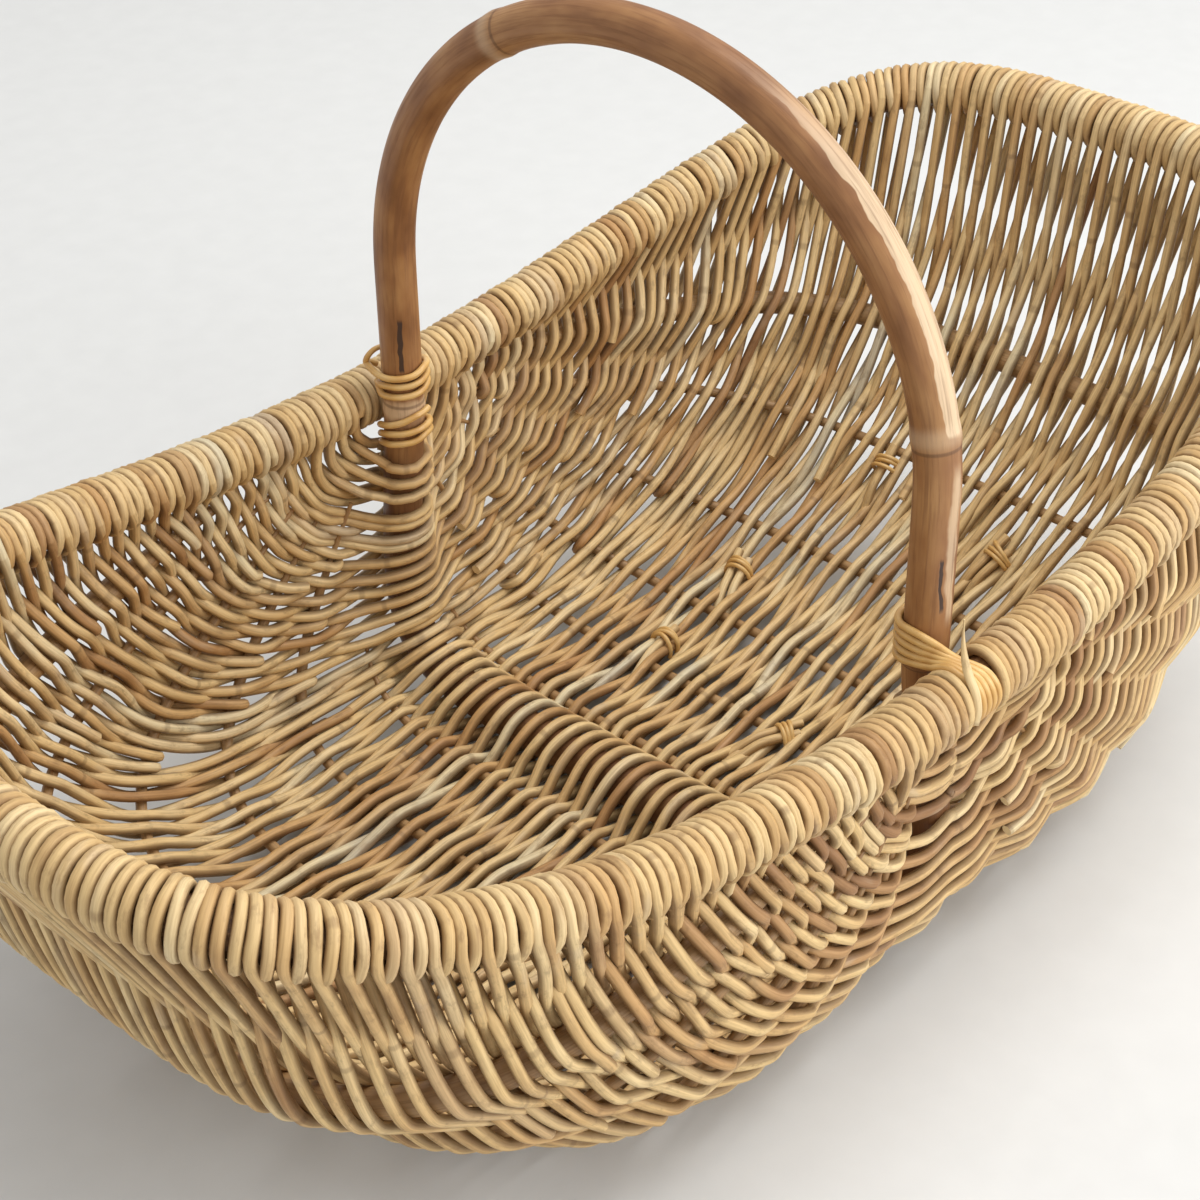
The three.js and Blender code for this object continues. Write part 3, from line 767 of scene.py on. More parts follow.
class Side:
    """The rows on one side of the handle, in their order along the rim. Some rows cross the whole basket.
    The others come in pairs, where the lines spread apart, and turn back round a rib or are cut off there."""

    def __init__(self, side):
        self.rows = self.order_rows(side)
        self.count = len(self.rows)
        first, last = EAR_GAP[side, "near"], RIM_LENGTH - EAR_GAP[side, "far"]
        self.shares = np.full((self.count, RIM_LINE + 1), np.nan)
        own = rng.uniform(-0.2, 0.2, self.count)
        for line in LINES:
            rows = np.array([row for row in range(self.count) if self.rows[row][1] <= line])
            turning = np.array([line > 0 and self.rows[row][1] == line for row in rows])
            loose = math.sin(math.pi * line / RIM_LINE) ** 0.5
            width = (1 + loose * own[rows]) * np.where(turning, TURN_WIDTH, 1.0)
            part = np.cumsum(width) - width / 2
            part = (part - part[0]) / (part[-1] - part[0])
            hoop = np.interp(part, np.linspace(0, 1, WEAVERS), HOOP_SHARES)
            rim = (first + part * (last - first)) / RIM_LENGTH
            self.shares[rows, line] = hoop + (rim - hoop) * smoothstep(line / RIM_LINE)
        self.natural = self.shares[:, RIM_LINE] * RIM_LENGTH
        self.set_turns(first, last)

    def order_rows(self, side):
        """The rows as (kind, first line, weaver), with fill-in rows beside the weaver that they follow."""
        pairs = int(round(((line_length(RIM_LINE - 1) - 2 * EAR_MARGIN) / RIB_PITCH - WEAVERS) / 2))
        walls = int(round(WALL_SHARE * pairs))
        fill_ins = []
        for index in range(walls):
            part = (index // 2 + rng.uniform(0.2, 0.8)) / math.ceil(walls / 2)
            share = WALL_FILL[0] + (WALL_FILL[1] - WALL_FILL[0]) * part
            rank = (index * GOLDEN_STEP + 0.3 * (side > 0)) % 1 * walls
            line = int(np.searchsorted(np.array(FILLED_BY) * walls, rank, side="right"))
            kind = "cut" if rng.random() < WALL_CUTS else "turn"
            fill_ins.append((share if index % 2 else 1 - share, line, kind))
        for index in range(pairs - walls):
            part = (index + rng.uniform(0.1, 0.9)) / (pairs - walls)
            line = int(rng.choice(FLOOR_FILL_LINES))
            kind = "cut" if rng.random() < FLOOR_CUTS else "turn"
            fill_ins.append((FLOOR_FILL[0] + (FLOOR_FILL[1] - FLOOR_FILL[0]) * part, line, kind))
        at = [int(np.searchsorted(HOOP_SHARES[::2], share)) for share, _, _ in fill_ins]
        rows = []
        for pair in range(WEAVERS // 2):
            for spot, (share, line, kind) in zip(at, fill_ins):
                if spot == pair:
                    from_end = min(share, 1 - share) - RIB_END_MARGIN
                    while line < RIM_LINE - 1 and from_end < RIB_STARTS[line - 1]:
                        line += 1
                    rows += [(kind, line, 2 * pair)] * 2
            rows += [("full", 0, 2 * pair), ("full", 0, 2 * pair + 1)]
        return rows

    def set_turns(self, first, last):
        """Where each row arrives at the rim, and how many turns each pair makes there."""
        half = (self.natural[1] - self.natural[0]) / 2
        edges = (self.natural[1:-1:2] + self.natural[2::2]) / 2
        edges = np.concatenate([[first - half], edges, [last + half]])
        turns = int(round((edges[-1] - edges[0]) / TURN_PITCH))
        self.pitch = (edges[-1] - edges[0]) / turns
        self.edge_turns = np.round((edges - edges[0]) / self.pitch).astype(int)
        self.start, self.end = edges[0], edges[-1]
        self.arrive = np.empty(self.count)
        self.arrive[0::2] = self.start + self.pitch * (self.edge_turns[:-1] + 0.25)
        self.arrive[1::2] = self.start + self.pitch * (self.edge_turns[1:] - 0.25)
        self.shift = np.clip(rng.normal(0, 0.5, self.count // 2), -1.3, 1.3)
        self.lift = np.minimum(np.abs(rng.normal(0, 0.3, self.count // 2)), 0.6)

    def turns(self, row):
        return self.edge_turns[row // 2 + 1] - self.edge_turns[row // 2]

    def row_of(self, weaver):
        return next(row for row, kind in enumerate(self.rows) if kind[0] == "full" and kind[2] == weaver)


SIDES = {side: Side(side) for side in (-1, 1)}


def rim_frame(side, arc):
    """Middle of the rim's core and the directions along it, outward and up, this far from the near ear."""
    share = np.asarray(arc) / RIM_LENGTH
    place = np.full(np.shape(share), side * float(RIM_LINE))
    middle = surface_point(place, share)
    step = 1.5 / RIM_LENGTH
    heading = unit(surface_point(place, share + step) - surface_point(place, share - step))
    up = unit(np.array([0.0, 0.0, 1.0]) - heading * heading[..., 2:3])
    return middle, heading, np.cross(heading, up) * side, up


def rim_ring(side, arc, angle):
    """Middle of the rim's core at each distance, and the direction away from it at each angle."""
    middle, _, out, up = rim_frame(side, arc)
    return middle, out * np.cos(angle)[:, None] + up * np.sin(angle)[:, None]


WAVES = [
    (rng.uniform(0.25, 0.9), rng.uniform(10, 26) * rng.choice([-1, 1]), rng.uniform(0, 2 * np.pi))
    for _ in range(8)
]


def drift(places, shares):
    """A slow wander of the rows sideways, shared by neighbours, about -1 to 1."""
    total = np.zeros_like(places)
    for along, across, phase in WAVES:
        total += np.sin(2 * np.pi * (along * places + across * shares) + phase)
    return total / math.sqrt(len(WAVES))


# A row passes a rib where it is at least this part of the rib's own start from the ear.
PASSING = 0.95


def present_lines(weaver):
    """The ribs that a weaver's row passes, which are the same ones on both sides of the handle."""
    found = []
    for line in range(1, RIM_LINE):
        shares = [HOOP_SHARES[weaver]] + [fan.shares[fan.row_of(weaver), line] for fan in SIDES.values()]
        if max(min(share, 1 - share) for share in shares) >= PASSING * RIB_STARTS[line - 1]:
            found.append(line)
    return found


PRESENT = [present_lines(weaver) for weaver in range(WEAVERS)]

# A row's path is worked out in fine steps and kept in coarser ones. The cane's stiffness rounds it off over
# this many fine steps, and more beside the handle hoop, where it also lifts a little.
FINE_STEP = 1.5
ROW_STEP = 2.9
STIFFNESS = 3.2
HOOP_STIFFNESS = 5.6
HOOP_REACH = 26
HOOP_LIFT = 0.6


def row_path(places, shares, crossings):
    """The middle of a row that passes its crossings on their own sides, with the surface's outward direction.
    A crossing is a place, the distance that the row keeps there, and the side."""
    base = surface_point(places, shares)
    distance = path_distance(base)
    at = np.interp([crossing[0] for crossing in crossings], places, distance)
    height = np.array([radius * way for _, radius, way in crossings])
    fine = np.linspace(0, distance[-1], int(distance[-1] / FINE_STEP) + 2)
    span = np.clip(np.searchsorted(at, fine, side="right") - 1, 0, len(at) - 2)
    part = np.clip((fine - at[span]) / np.maximum(at[span + 1] - at[span], 1e-6), 0, 1)
    hoops = np.array([crossing[0] == 0 for crossing in crossings])
    humps = hoops & (np.interp(0, places, base[:, 2]) < HUMP_HEIGHT)
    rising, falling = humps[span + 1], humps[span]
    bulged = np.where(rising, 1 - (1 - part) ** 2, np.where(falling, part**2, part))
    eased = smoothstep(part)
    part = np.where(rising | falling, 0.6 * bulged + 0.4 * eased, 0.85 * part + 0.15 * eased)
    offset = height[span] + (height[span + 1] - height[span]) * part
    for middle, (_, radius, way) in zip(at, crossings):
        near = np.abs(fine - middle) < radius
        bow = np.sqrt(np.maximum(radius**2 - (fine[near] - middle) ** 2, 0))
        offset[near] = np.maximum(offset[near], bow) if way > 0 else np.minimum(offset[near], -bow)
    bent = smooth(offset, STIFFNESS)
    if hoops.any():
        hoop = np.argmax(hoops)
        beside = np.exp(-(((fine - at[hoop]) / HOOP_REACH) ** 2))
        bent = bent + beside * (smooth(offset, HOOP_STIFFNESS) + HOOP_LIFT * np.sign(height[hoop]) - bent)
    bent[0], bent[-1] = offset[0], offset[-1]
    base = interp_rows(fine, distance, base)
    outward = unit(interp_rows(fine, distance, surface_outward(places, shares)))
    wanted = np.linspace(0, len(fine) - 1, int(distance[-1] / ROW_STEP) + 2)
    keep = np.unique(np.round(wanted).astype(int))
    return (base + outward * bent[:, None])[keep], outward[keep]


# A row's course is rounded off over this part of the way between two lines, and from this line on it moves
# over to where its turns round the rim start.
LINE_BLEND = 0.3
RIM_APPROACH = 5.6


def row_shares(places, lines, values, arrive, ends):
    """The share of a row at each place, from its shares at the lines, with some wander."""
    share = np.interp(places, lines, values)
    share = smooth(share, LINE_BLEND / abs(places[1] - places[0]))
    for end, natural in ends:
        share += (arrive[end] - natural) / RIM_LENGTH * smoothstep(places * end, RIM_APPROACH, RIM_LINE)
    across = np.abs(places)
    from_ear = np.minimum(share, 1 - share) * np.interp(places, PLACES, LINE_LENGTHS)
    loose = 0.25 + 0.75 * smoothstep(from_ear, 60, 200)
    room = smoothstep(across, 0.0, 0.6) * smoothstep(RIM_LINE - across, 0.0, 0.8)
    wander = drift(places, share)
    for index in range(5):
        size = rng.normal()
        wander += 0.26 * size * np.sin(places * (0.6 + 0.5 * index) + 7 * size)
    return share + loose * room * wander / np.interp(places, PLACES, LINE_LENGTHS)


def rib_crossing(place, line, share, way):
    start = RIB_STARTS[line - 1]
    radius = float(rib_radius(line, np.clip(share, start, 1 - start))) + CANE_RADIUS + CROSSING_GAP
    return (place, radius, way)


def full_row(weaver):
    """A row from rim to rim, and for each side its place in that side's order."""
    rows = {side: SIDES[side].row_of(weaver) for side in (-1, 1)}
    left, right = (SIDES[side].shares[rows[side]] for side in (-1, 1))
    lines = np.concatenate([-LINES[::-1], LINES[1:]]).astype(float)
    values = np.concatenate([left[::-1], right[1:]])
    arrive = {side: SIDES[side].arrive[rows[side]] for side in (-1, 1)}
    ends = [(side, SIDES[side].natural[rows[side]]) for side in (-1, 1)]
    shares = row_shares(PLACES, lines, values, arrive, ends)
    way = 1 if weaver % 2 == 0 else -1
    present = PRESENT[weaver]
    crossings = [(0, HOOP_PATH_RADIUS, way * (-1) ** (len(present) + 1))]
    for side in (-1, 1):
        crossings.append((side * RIM_LINE, WRAP_PATH_RADIUS, way))
        for step, line in enumerate(present[::-1], 1):
            share = float(np.interp(side * line, PLACES, shares))
            crossings.append(rib_crossing(side * line, line, share, way * (-1) ** step))
    path, outward = row_path(PLACES, shares, sorted(crossings))
    return path, outward, rows


def half_row(side, row, way, inner):
    """A row from a rib to the rim, and the share and the crossing where it passes that rib. It starts inner
    lines before the rib."""
    fan = SIDES[side]
    _, turn_line, weaver = fan.rows[row]
    present = [line for line in PRESENT[weaver] if line > turn_line]
    lines = LINES[turn_line:].astype(float)
    values = fan.shares[row, turn_line:]
    places = np.linspace(turn_line - inner, RIM_LINE, int((RIM_LINE - turn_line + inner) * PLACE_STEPS) + 1)
    shares = row_shares(places, lines, values, {1: fan.arrive[row]}, [(1, fan.natural[row])])
    crossings = [(float(RIM_LINE), WRAP_PATH_RADIUS, way)]
    for index, line in enumerate(present[::-1] + [turn_line], 1):
        share = float(np.interp(line, places, shares))
        crossings.append(rib_crossing(line, line, share, way * (-1) ** index))
    crossings = sorted(crossings)
    if side > 0:
        path, outward = row_path(places, shares, crossings)
    else:
        mirrored = [(-place, radius, which) for place, radius, which in crossings][::-1]
        path, outward = row_path(-places[::-1], shares[::-1], mirrored)
        path, outward = path[::-1], outward[::-1]
    return path, outward, share, crossings[0]


def turned_row(side, row):
    """Two rows that are one cane, from the rim round a rib and back to the rim."""
    turn_line = SIDES[side].rows[row][1]
    first_path, first_out, first_share, (_, radius, way) = half_row(side, row, 1, 0)
    last_path, last_out, last_share, _ = half_row(side, row + 1, -1, 0)
    angle = np.linspace(0, np.pi, 9)[1:-1]
    share = first_share + (last_share - first_share) * (1 - np.cos(angle)) / 2
    place = np.full(len(angle), float(side * turn_line))
    middle = surface_point(place, share)
    normal = surface_outward(place, share)
    inward = unit(surface_point(place - side * 0.2, share) - middle)
    direction = normal * (way * np.cos(angle))[:, None] + inward * np.sin(angle)[:, None]
    path = np.concatenate([first_path[::-1], middle + direction * radius, last_path])
    first = np.concatenate([first_out[::-1], direction * way, -last_out])
    return path, first


STEPS_PER_TURN = 20
# A row keeps its slant for about this angle once it is on the rim.
SLANT_FADE = 0.35


def ear_lean(side, arc, angle):
    return side * EAR_LEAN[side] * (1 - np.cos(angle)) / 2 * np.exp(-np.asarray(arc) / EAR_LEAN_REACH)


def wrap_path(side, row, end, before):
    """The turns of one row's end round the rim, from where it arrives to below the rim. They start with the
    slant of the row's last two points."""
    fan = SIDES[side]
    way = 1 if row % 2 == 0 else -1
    turns = fan.turns(row)
    normal = surface_outward(side * float(RIM_LINE), fan.arrive[row] / RIM_LENGTH)
    _, heading, out, up = rim_frame(side, fan.arrive[row])
    tilt = math.atan2(float(normal @ up), float(normal @ out))
    half_way = 1.5 * np.pi + 2 * np.pi * (math.ceil(turns / 2) - 1)
    start = tilt if way > 0 else np.pi + tilt + 2 * np.pi * (turns - 1)
    count = max(int(abs(half_way - start) / (2 * np.pi) * STEPS_PER_TURN), 4)
    angle = np.linspace(start, half_way, count + 1)
    turned = np.abs(angle - start)
    settled = np.clip(turned / 2, 0, 1)
    loose = settled * np.clip(np.abs(half_way - angle) / 2, 0, 1)
    knots = np.linspace(angle.min(), angle.max(), 6)
    along = float(unit(end - before) @ heading)
    lean = float(np.clip(along / math.sqrt(max(1 - along**2, 0.2)), -1.2, 1.2))
    arc = fan.arrive[row] + fan.pitch * (angle - start) / (2 * np.pi)
    arc += lean * WRAP_PATH_RADIUS * turned * np.exp(-turned / SLANT_FADE)
    arc += loose * np.interp(angle, knots, rng.normal(0, 0.4, 6)) + settled * fan.shift[row // 2]
    arc += settled * ear_lean(side, arc, angle)
    radius = WRAP_PATH_RADIUS - 0.5 * settled + settled * fan.lift[row // 2]
    radius += loose * np.interp(angle, knots, np.abs(rng.normal(0, 0.3, 6)))
    middle, radial = rim_ring(side, arc, angle)
    return middle + radial * radius[:, None], radial * way


def pair_tones(count):
    """Two tones and a spread for each pair of rows, which are mostly one cane: honey and gold, some brown,
    some silvery."""
    tones = np.clip(rng.normal(0.50, 0.11, count), 0.1, 0.82)
    brown = rng.random(count) < 0.08
    tones[brown] = rng.uniform(0.06, 0.24, brown.sum())
    silver = rng.random(count) < 0.04
    tones[silver] = rng.uniform(0.78, 0.9, silver.sum())
    second = np.where(rng.random(count) < 0.4, np.roll(tones, 1), tones)
    return np.stack([tones, second, rng.random(count)], axis=1)


def cane_radii(along):
    size = CANE_RADIUS * min(0.98 + rng.normal(0, 0.035), 1.03)
    return size * (1 + 0.03 * np.sin(along * rng.uniform(0.01, 0.03) + rng.uniform(0, 6)))


# Over how many points of a row the rim's paler colour, partly painted light, fades into the weave's.
PALE_FADE = 13 / 6


class Weave:
    """The meshes that the rows go into: a band of the wall for each CAD band, and a quarter of the rim."""

    def __init__(self):
        self.bands = [Shape() for _ in range(BANDS)]
        self.wraps = {(side, end): Shape() for side in (-1, 1) for end in ("near", "far")}

    def band(self, share):
        first_share = WEAVE_START / HOOP_LENGTH
        number = int(np.clip((share - first_share) / (1 - 2 * first_share) * BANDS, 0, BANDS - 1))
        return self.bands[number]

    def add(self, parts, tone, caps=(False, False)):
        """One cane, as parts that each start where the one before stopped: a mesh, a path, the direction
        that faces away from the surface, and how pale the part is."""
        path = np.concatenate([parts[0][1]] + [part[1][1:] for part in parts[1:]])
        first = np.concatenate([parts[0][2]] + [part[2][1:] for part in parts[1:]])
        along = path_distance(path)
        stops = np.cumsum([len(parts[0][1])] + [len(part[1]) - 1 for part in parts[1:]])
        for joint in stops[:-1] - 1:
            near = slice(joint - 3, joint + 4)
            blend = np.array([0, 0.3, 0.8, 1, 0.8, 0.3, 0])[:, None]
            path[near] += blend * (smooth(path[near], 0.8) - path[near])
        # The rim's colour, partly painted light, fades in over a few points.
        pale = np.repeat([float(part[3]) for part in parts], np.diff(stops, prepend=0))
        pale = np.clip(smooth(pale, PALE_FADE), 0, 1)
        tones = np.stack([np.full(len(path), tone[0]), np.full(len(path), tone[1]), pale], axis=1)
        at_end = smoothstep(np.abs(path[:, 0]), *END_WALL)
        swell = 1 + (MIDDLE_SWELL + (END_SWELL - MIDDLE_SWELL) * at_end) * (1 - pale)
        points, grain = cane_rings(path, first, cane_radii(along) * swell)
        start = 0
        for index, ((shape, *_), stop) in enumerate(zip(parts, stops)):
            ends = (caps[0] and index == 0, caps[1] and index == len(parts) - 1)
            cut = slice(start, stop)
            shape.rings(points[cut], grain[cut], tones[cut], caps=ends)
            start = stop - 1

    def ear_turns(self, side, end):
        """Turns of the wrapping between an ear and the first row beside it."""
        fan = SIDES[side]
        bare = EAR_BARE[side, end]
        length = (fan.start if end == "near" else RIM_LENGTH - fan.end) - bare
        count = max(int(round(length / TURN_PITCH)), 0)
        angle = np.linspace(0, 2 * np.pi, 25)[:-1]
        for index in range(count):
            arc = bare + (index + 0.5) * length / count
            arc = arc if end == "near" else RIM_LENGTH - arc
            middle, radial = rim_ring(side, arc + ear_lean(side, arc, angle), angle)
            ring = middle + radial * (WRAP_PATH_RADIUS - rng.uniform(0, 0.4))
            tone = (rng.uniform(0.35, 0.75), rng.random(), 1.0)
            self.wraps[side, end].tube(ring, radial, 0.98 * CANE_RADIUS, closed=True, tone=tone)

    def add_full_rows(self):
        tones = pair_tones(WEAVERS // 2)
        for weaver in range(WEAVERS):
            path, outward, rows = full_row(weaver)
            left, left_first = wrap_path(-1, rows[-1], path[0], path[1])
            right, right_first = wrap_path(1, rows[1], path[-1], path[-2])
            end = "near" if weaver < WEAVERS // 2 else "far"
            pair = tones[weaver // 2]
            parts = [
                (self.wraps[-1, end], left[::-1], left_first[::-1], 1),
                (self.band(HOOP_SHARES[weaver]), path, outward, 0),
                (self.wraps[1, end], right, right_first, 1),
            ]
            self.add(parts, (pair[weaver % 2], pair[2]))

    def add_fill_in_rows(self, side):
        fan = SIDES[side]
        pairs = [row for row in range(0, fan.count, 2) if fan.rows[row][0] != "full"]
        for row, tone in zip(pairs, pair_tones(len(pairs))):
            kind, _, weaver = fan.rows[row]
            shape = self.band(HOOP_SHARES[weaver])
            wraps = self.wraps[side, "near" if fan.arrive[row] < RIM_LENGTH / 2 else "far"]
            if kind == "turn":
                path, first = turned_row(side, row)
                start, start_first = wrap_path(side, row, path[0], path[1])
                stop, stop_first = wrap_path(side, row + 1, path[-1], path[-2])
                parts = [
                    (wraps, start[::-1], start_first[::-1], 1),
                    (shape, path, first, 0),
                    (wraps, stop, -stop_first, 1),
                ]
                self.add(parts, (tone[0], tone[2]))
                continue
            for step, way in ((0, 1), (1, -1)):
                path, first, _, _ = half_row(side, row + step, way, rng.uniform(0.2, 0.5))
                stop, stop_first = wrap_path(side, row + step, path[-1], path[-2])
                parts = [(shape, path, first, 0), (wraps, stop, stop_first, 1)]
                self.add(parts, (tone[step], tone[2]), caps=(True, False))

    def build(self):
        for number, shape in enumerate(self.bands, 1):
            shape.build(f"weave_{number:02d}", cane, "golden_cane", [f"weave_band_{number:02d}"])
        for (side, end), shape in self.wraps.items():
            label = f"{'left' if side < 0 else 'right'}_{end}"
            shape.build(f"rim_turns_{label}", cane, "rim_cane", [f"rim_wrap_{label}"])


weave = Weave()
weave.add_full_rows()
for fill_side in (-1, 1):
    weave.add_fill_in_rows(fill_side)
    weave.ear_turns(fill_side, "near")
    weave.ear_turns(fill_side, "far")
weave.build()

LEG_LASH_RADIUS = HANDLE_RADIUS + LASHING_RADIUS + CROSSING_GAP


SPLINE_STEP = 1.6


def spline(points):
    """A smooth path through the points."""
    points = np.asarray(points, float)
    padded = np.concatenate([[2 * points[0] - points[1]], points, [2 * points[-1] - points[-2]]])
    out = []
    for index in range(1, len(padded) - 2):
        p0, p1, p2, p3 = padded[index - 1 : index + 3]
        count = max(int(np.linalg.norm(p2 - p1) / SPLINE_STEP), 2)
        t = np.linspace(0, 1, count, endpoint=False)[:, None]
        square, cube = 2 * p0 - 5 * p1 + 4 * p2 - p3, 3 * p1 - p0 - 3 * p2 + p3
        out.append(0.5 * (2 * p1 + (p2 - p0) * t + square * t**2 + cube * t**3))
    return np.concatenate(out + [points[-1:]])


def lash_leg(angle, height, radius=LEG_LASH_RADIUS):
    """A point beside the leg, in the ear's own directions: along the rim, outward and up from its middle.
    The angle turns from outward, 0, towards the left, 90."""
    turn = math.radians(angle)
    return (-radius * math.sin(turn), radius * math.cos(turn), height)


def lash_round(angles, heights):
    return [lash_leg(angle, height) for angle, height in zip(angles, heights)]


def place_lash(points, ear):
    """From the ear's own directions to the basket's."""
    return np.asarray(points, float) * (1, ear, 1) + (0.0, ear * LEG_HALF_WIDTH, RIM_HEIGHT)


def add_strand(shape, points, ear, tone, radius=LASHING_RADIUS):
    path = spline(place_lash(points, ear))
    first = path - np.array([0.0, ear * LEG_HALF_WIDTH, 0.0])
    first[:, 2] = 0.001
    shape.tube(path, unit(first), radius, sides=10, tone=(tone, rng.random(), 0.0), caps=(True, True))


def near_upper_lashing():
    """Five strands round the leg, which leave it side by side and go over the rim's bare core."""
    shape = Shape()
    outward = np.array([13.0, 19.0, 24.5, 30.5, 37.0, 41.9, 43.8, 41.9, 37.7])
    level = np.array([0, 0, 15.2, 14.3, 12.4, 7.1, 0.0, -7.1, -11.6])
    last = 7
    # The angle where a strand leaves the leg, and its heights there, in front and behind.
    on_leg = [
        (70, 24.6, 25.4, 24.6),
        (75, 20.3, 21.0, 20.1),
        (80, 16.0, 16.4, 15.4),
        (85, 11.5, 11.2, 10.0),
        (90, 6.9, 5.8, 4.4),
    ]
    for strand, (leaves, height, front, back) in enumerate(on_leg):
        start = lash_leg(leaves, height)
        share = (outward - start[1]) / (outward[last - 1] - start[1])
        share[last:] = 1
        forward = start[0] + (0.2 - 4.2 * strand - start[0]) * share
        levels = level.copy()
        levels[:2] = height + (level[2] - height) * np.array([0.4, 0.75])
        points = list(zip(forward, outward, levels))[::-1] + [start, lash_leg(112, front)]
        points += lash_round((140, 165, 200, 235, 270), [back] * 5)
        add_strand(shape, points, -1, 0.5 + 0.1 * (strand % 2))
    shape.build("lashing_near", lashing_cane, "lashing_cane", ["lashing_near_upper"])


def near_tail():
    """The cut tail of the near lashing: a flat strip that stands up in front of the strands."""
    points = [(-21, 45, -5), (-20, 45.5, 3), (-18.5, 42.5, 11), (-16.5, 37, 17), (-14.5, 32.5, 24)]
    path = spline(place_lash(points + [(-12, 29, 33), (-9.5, 27, 42)], -1))
    share = np.linspace(0, 1, len(path))
    shape = Shape()
    shape.strip(path, 2.2 * np.clip((1 - share) / 0.45, 0.12, 1), 0.7, (0.6, 0.5, 1.0))
    shape.build("lashing_near_tail", cane, "rim_cane")


def far_upper_lashing():
    """Three strands round the leg, with the top one coming from over the rim, and a curl behind the leg."""
    shape = Shape()
    top = [(-3.0, 17.5, 25.5), (-9.6, 18.6, 28.6), lash_leg(60, 27.6, LEG_LASH_RADIUS + 1.2)]
    top += lash_round((98, 133, 166, 195, 225, 260, 295), (27.6, 28.4, 29.3, 31.4, 31.2, 29.6, 27.4))
    add_strand(shape, top, 1, 0.5)
    for heights in ((19.0, 21.4, 22.6, 22.9, 23.4, 24.4, 25.0), (19.8, 16.2, 15.9, 16.4, 17.0, 18.0, 19.6)):
        points = lash_round((40, 75, 100, 128, 160, 190, 225), heights)
        add_strand(shape, points + lash_round((260, 300, 330), [heights[-1] - 0.5] * 3), 1, 0.55)
    curl = [(-10.6, 18.2, 29.4), (-10.8, 16.8, 32.6), (-8.6, 15.4, 35.8)]
    curl += [(-5.2, 14.5, 37.2), (-0.5, 14.2, 36.8)]
    add_strand(shape, curl, 1, 0.2, np.linspace(1.8, 1.5, len(spline(curl))))
    shape.build("lashing_far_top", lashing_cane, "lashing_cane", ["lashing_far_upper"])


def far_lower_lashing():
    """Three strands that slope down from inside the leg to below the rim."""
    shape = Shape()
    levels = [
        (-8.3, -3.5, -0.1, 2.9, 3.6),
        (-14.0, -9.2, -7.6, -6.6, -6.0),
        (-19.7, -16.0, -14.1, -13.1, -11.0),
    ]
    for strand, level in enumerate(levels):
        points = [lash_leg(20, level[0] - 4.5), lash_leg(48, level[0])]
        points += lash_round((96, 132, 162, 187), level[1:])
        if strand:
            points += lash_round((220, 255, 290), [level[4] - drop for drop in (0.6, 3.0, 6.5)])
        else:
            points += [lash_leg(205, 4.6, LEG_LASH_RADIUS + 0.6)]
        add_strand(shape, points, 1, 0.5)
    shape.build("lashing_far_bottom", lashing_cane, "lashing_cane", ["lashing_far_lower"])


near_upper_lashing()
near_tail()
far_upper_lashing()
far_lower_lashing()

# Ties on the floor, as (place, share, turn, whether two ends are tied there).
TIES = [
    (3.50, 0.614, 0.30, True),
    (4.55, 0.455, -0.15, True),
    (4.85, 0.561, 0.10, False),
    (1.93, 0.470, -0.30, True),
    (2.30, 0.616, 0.15, False),
]
TIE_RADIUS = 1.4


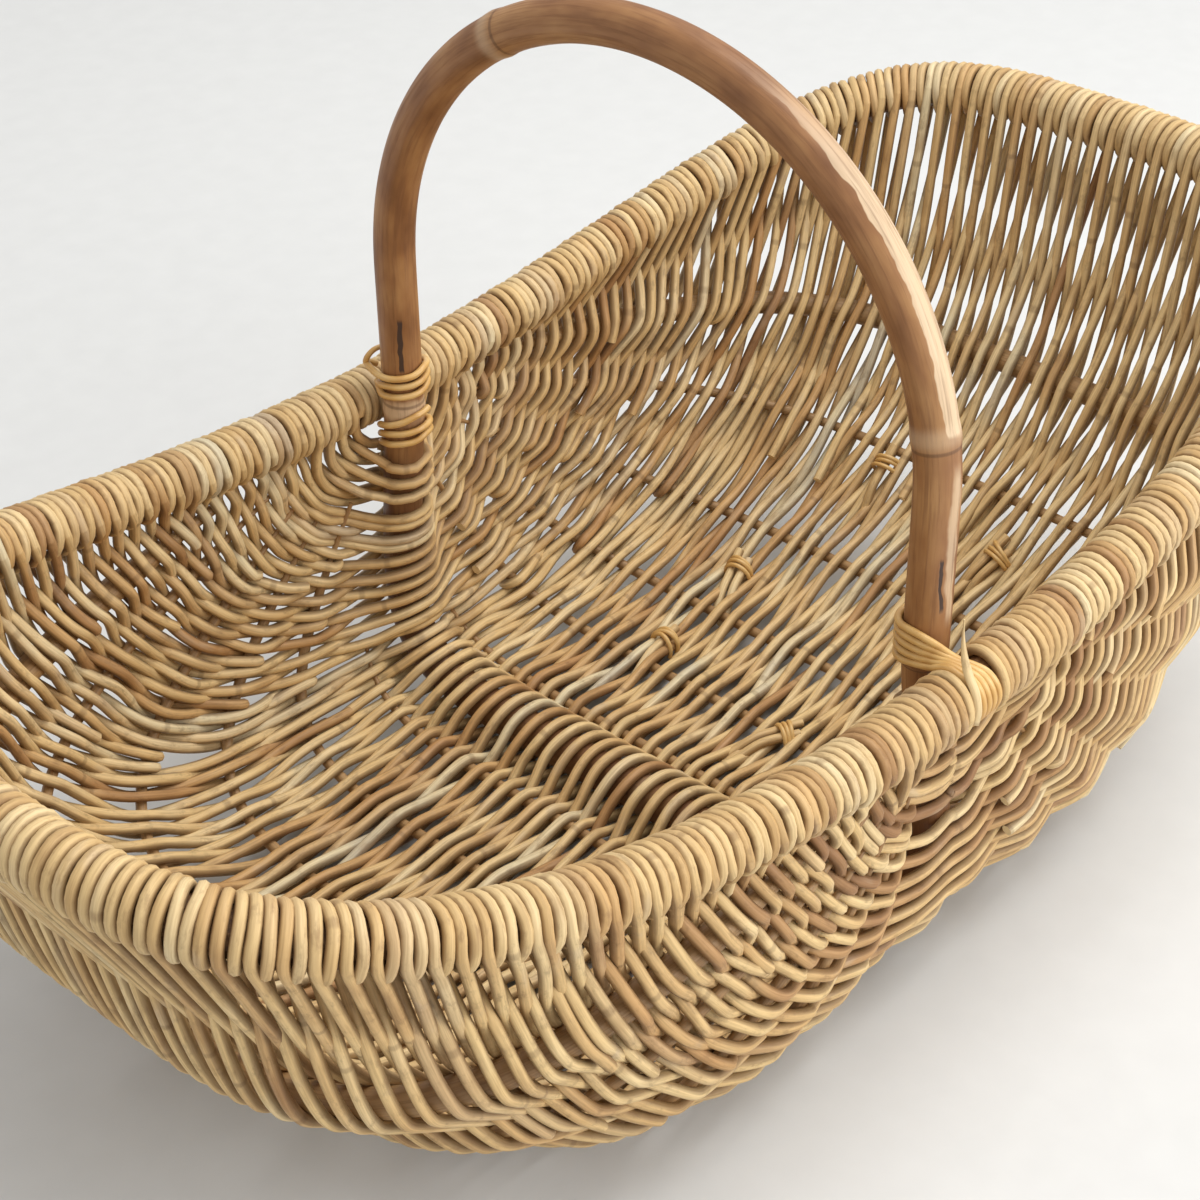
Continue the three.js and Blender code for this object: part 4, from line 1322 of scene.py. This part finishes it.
def add_tie(number, place, share, turn, both):
    """Three loops of thin cane over the cut ends of rows that were joined here."""
    middle = surface_point(place, share)
    up = -surface_outward(place, share)
    along = unit(surface_point(place + 0.2, share - 0.002) - surface_point(place - 0.2, share + 0.002))
    along = along * math.cos(turn) + np.cross(up, along) * math.sin(turn)
    aside = np.cross(up, along)
    loops = Shape()
    for loop in range(3):
        angle = np.linspace(-0.5, np.pi + 0.5, 22)
        lean = along * (3.1 * (loop - 1) + rng.uniform(-0.5, 0.5))
        wide, tall = 8.0 + rng.uniform(-0.6, 0.8), 9.6 + rng.uniform(-0.5, 1.0)
        across = aside + along * rng.uniform(-0.25, 0.25)
        path = middle + lean + np.outer(np.cos(angle) * wide, across)
        path = path + np.outer(np.sin(angle) * tall + 3.0, up)
        facing = np.outer(np.cos(angle), aside) + np.outer(np.sin(angle), up)
        loops.tube(path, facing, TIE_RADIUS, tone=(0.5, rng.random(), 0.0), caps=(True, True))
    loops.build(f"tie_{number}_loops", lashing_cane, "lashing_cane")
    ends = Shape()
    for way in (-1, 1) if both else (1,):
        run = np.linspace(-42, 10 + 3 * way, 15)
        rise = 7.4 - 9.0 * smoothstep(-run, 14, 42)
        path = middle + np.outer(run, along) + np.outer(rise, up)
        path += aside * (3.3 * way if both else 0) * (1 + 0.4 * smoothstep(run, -10, 12))[:, None]
        tone = (rng.uniform(0.4, 0.7), rng.random(), 0.2)
        facing = np.tile(up, (len(path), 1))
        ends.tube(path, facing, CANE_RADIUS * 0.97, sides=10, tone=tone, caps=(True, True))
    ends.build(f"tie_{number}_ends", cane, "golden_cane")


for tie_number, tie in enumerate(TIES, 1):
    add_tie(tie_number, *tie)


def add_floor():
    mesh = bpy.data.meshes.new("floor")
    mesh.from_pydata([(-15, -15, 0), (15, -15, 0), (15, 15, 0), (-15, 15, 0)], [], [(0, 1, 2, 3)])
    floor = bpy.data.objects.new("floor", mesh)
    bpy.context.scene.collection.objects.link(floor)
    m = Nodes("pale_floor")
    color = m.ramp(m.noise(m.place(), 40.0, 3.0), [(0.3, (209, 209, 207)), (0.7, (212, 212, 210))])
    m.link(color, m.shader.inputs["Base Color"])
    m.shader.inputs["Roughness"].default_value = 0.9
    mesh.materials.append(m.material)


def add_area(name, place, target, size, power):
    data = bpy.data.lights.new(name, "AREA")
    data.shape = "DISK"
    data.size = size
    data.energy = power
    light = bpy.data.objects.new(name, data)
    light.location = place
    light.rotation_euler = (Vector(target) - Vector(place)).to_track_quat("-Z", "Y").to_euler()
    bpy.context.scene.collection.objects.link(light)


def add_light():
    bpy.context.scene.view_settings.view_transform = "Standard"
    world = bpy.data.worlds.new("studio")
    world.use_nodes = True
    background = world.node_tree.nodes["Background"]
    background.inputs[0].default_value = (1, 1, 1, 1)
    background.inputs[1].default_value = 0.72
    bpy.context.scene.world = world
    add_area("key", (0.95, -0.45, 2.8), (-0.15, 0, 0.1), 2.6, 64)
    add_area("fill", (-1.6, -1.6, 2.0), (0, 0, 0.1), 2.0, 3)
    add_area("side", (0.7, -2.3, 0.9), (0.1, -0.2, 0.12), 1.6, 31)


add_floor()
add_light()
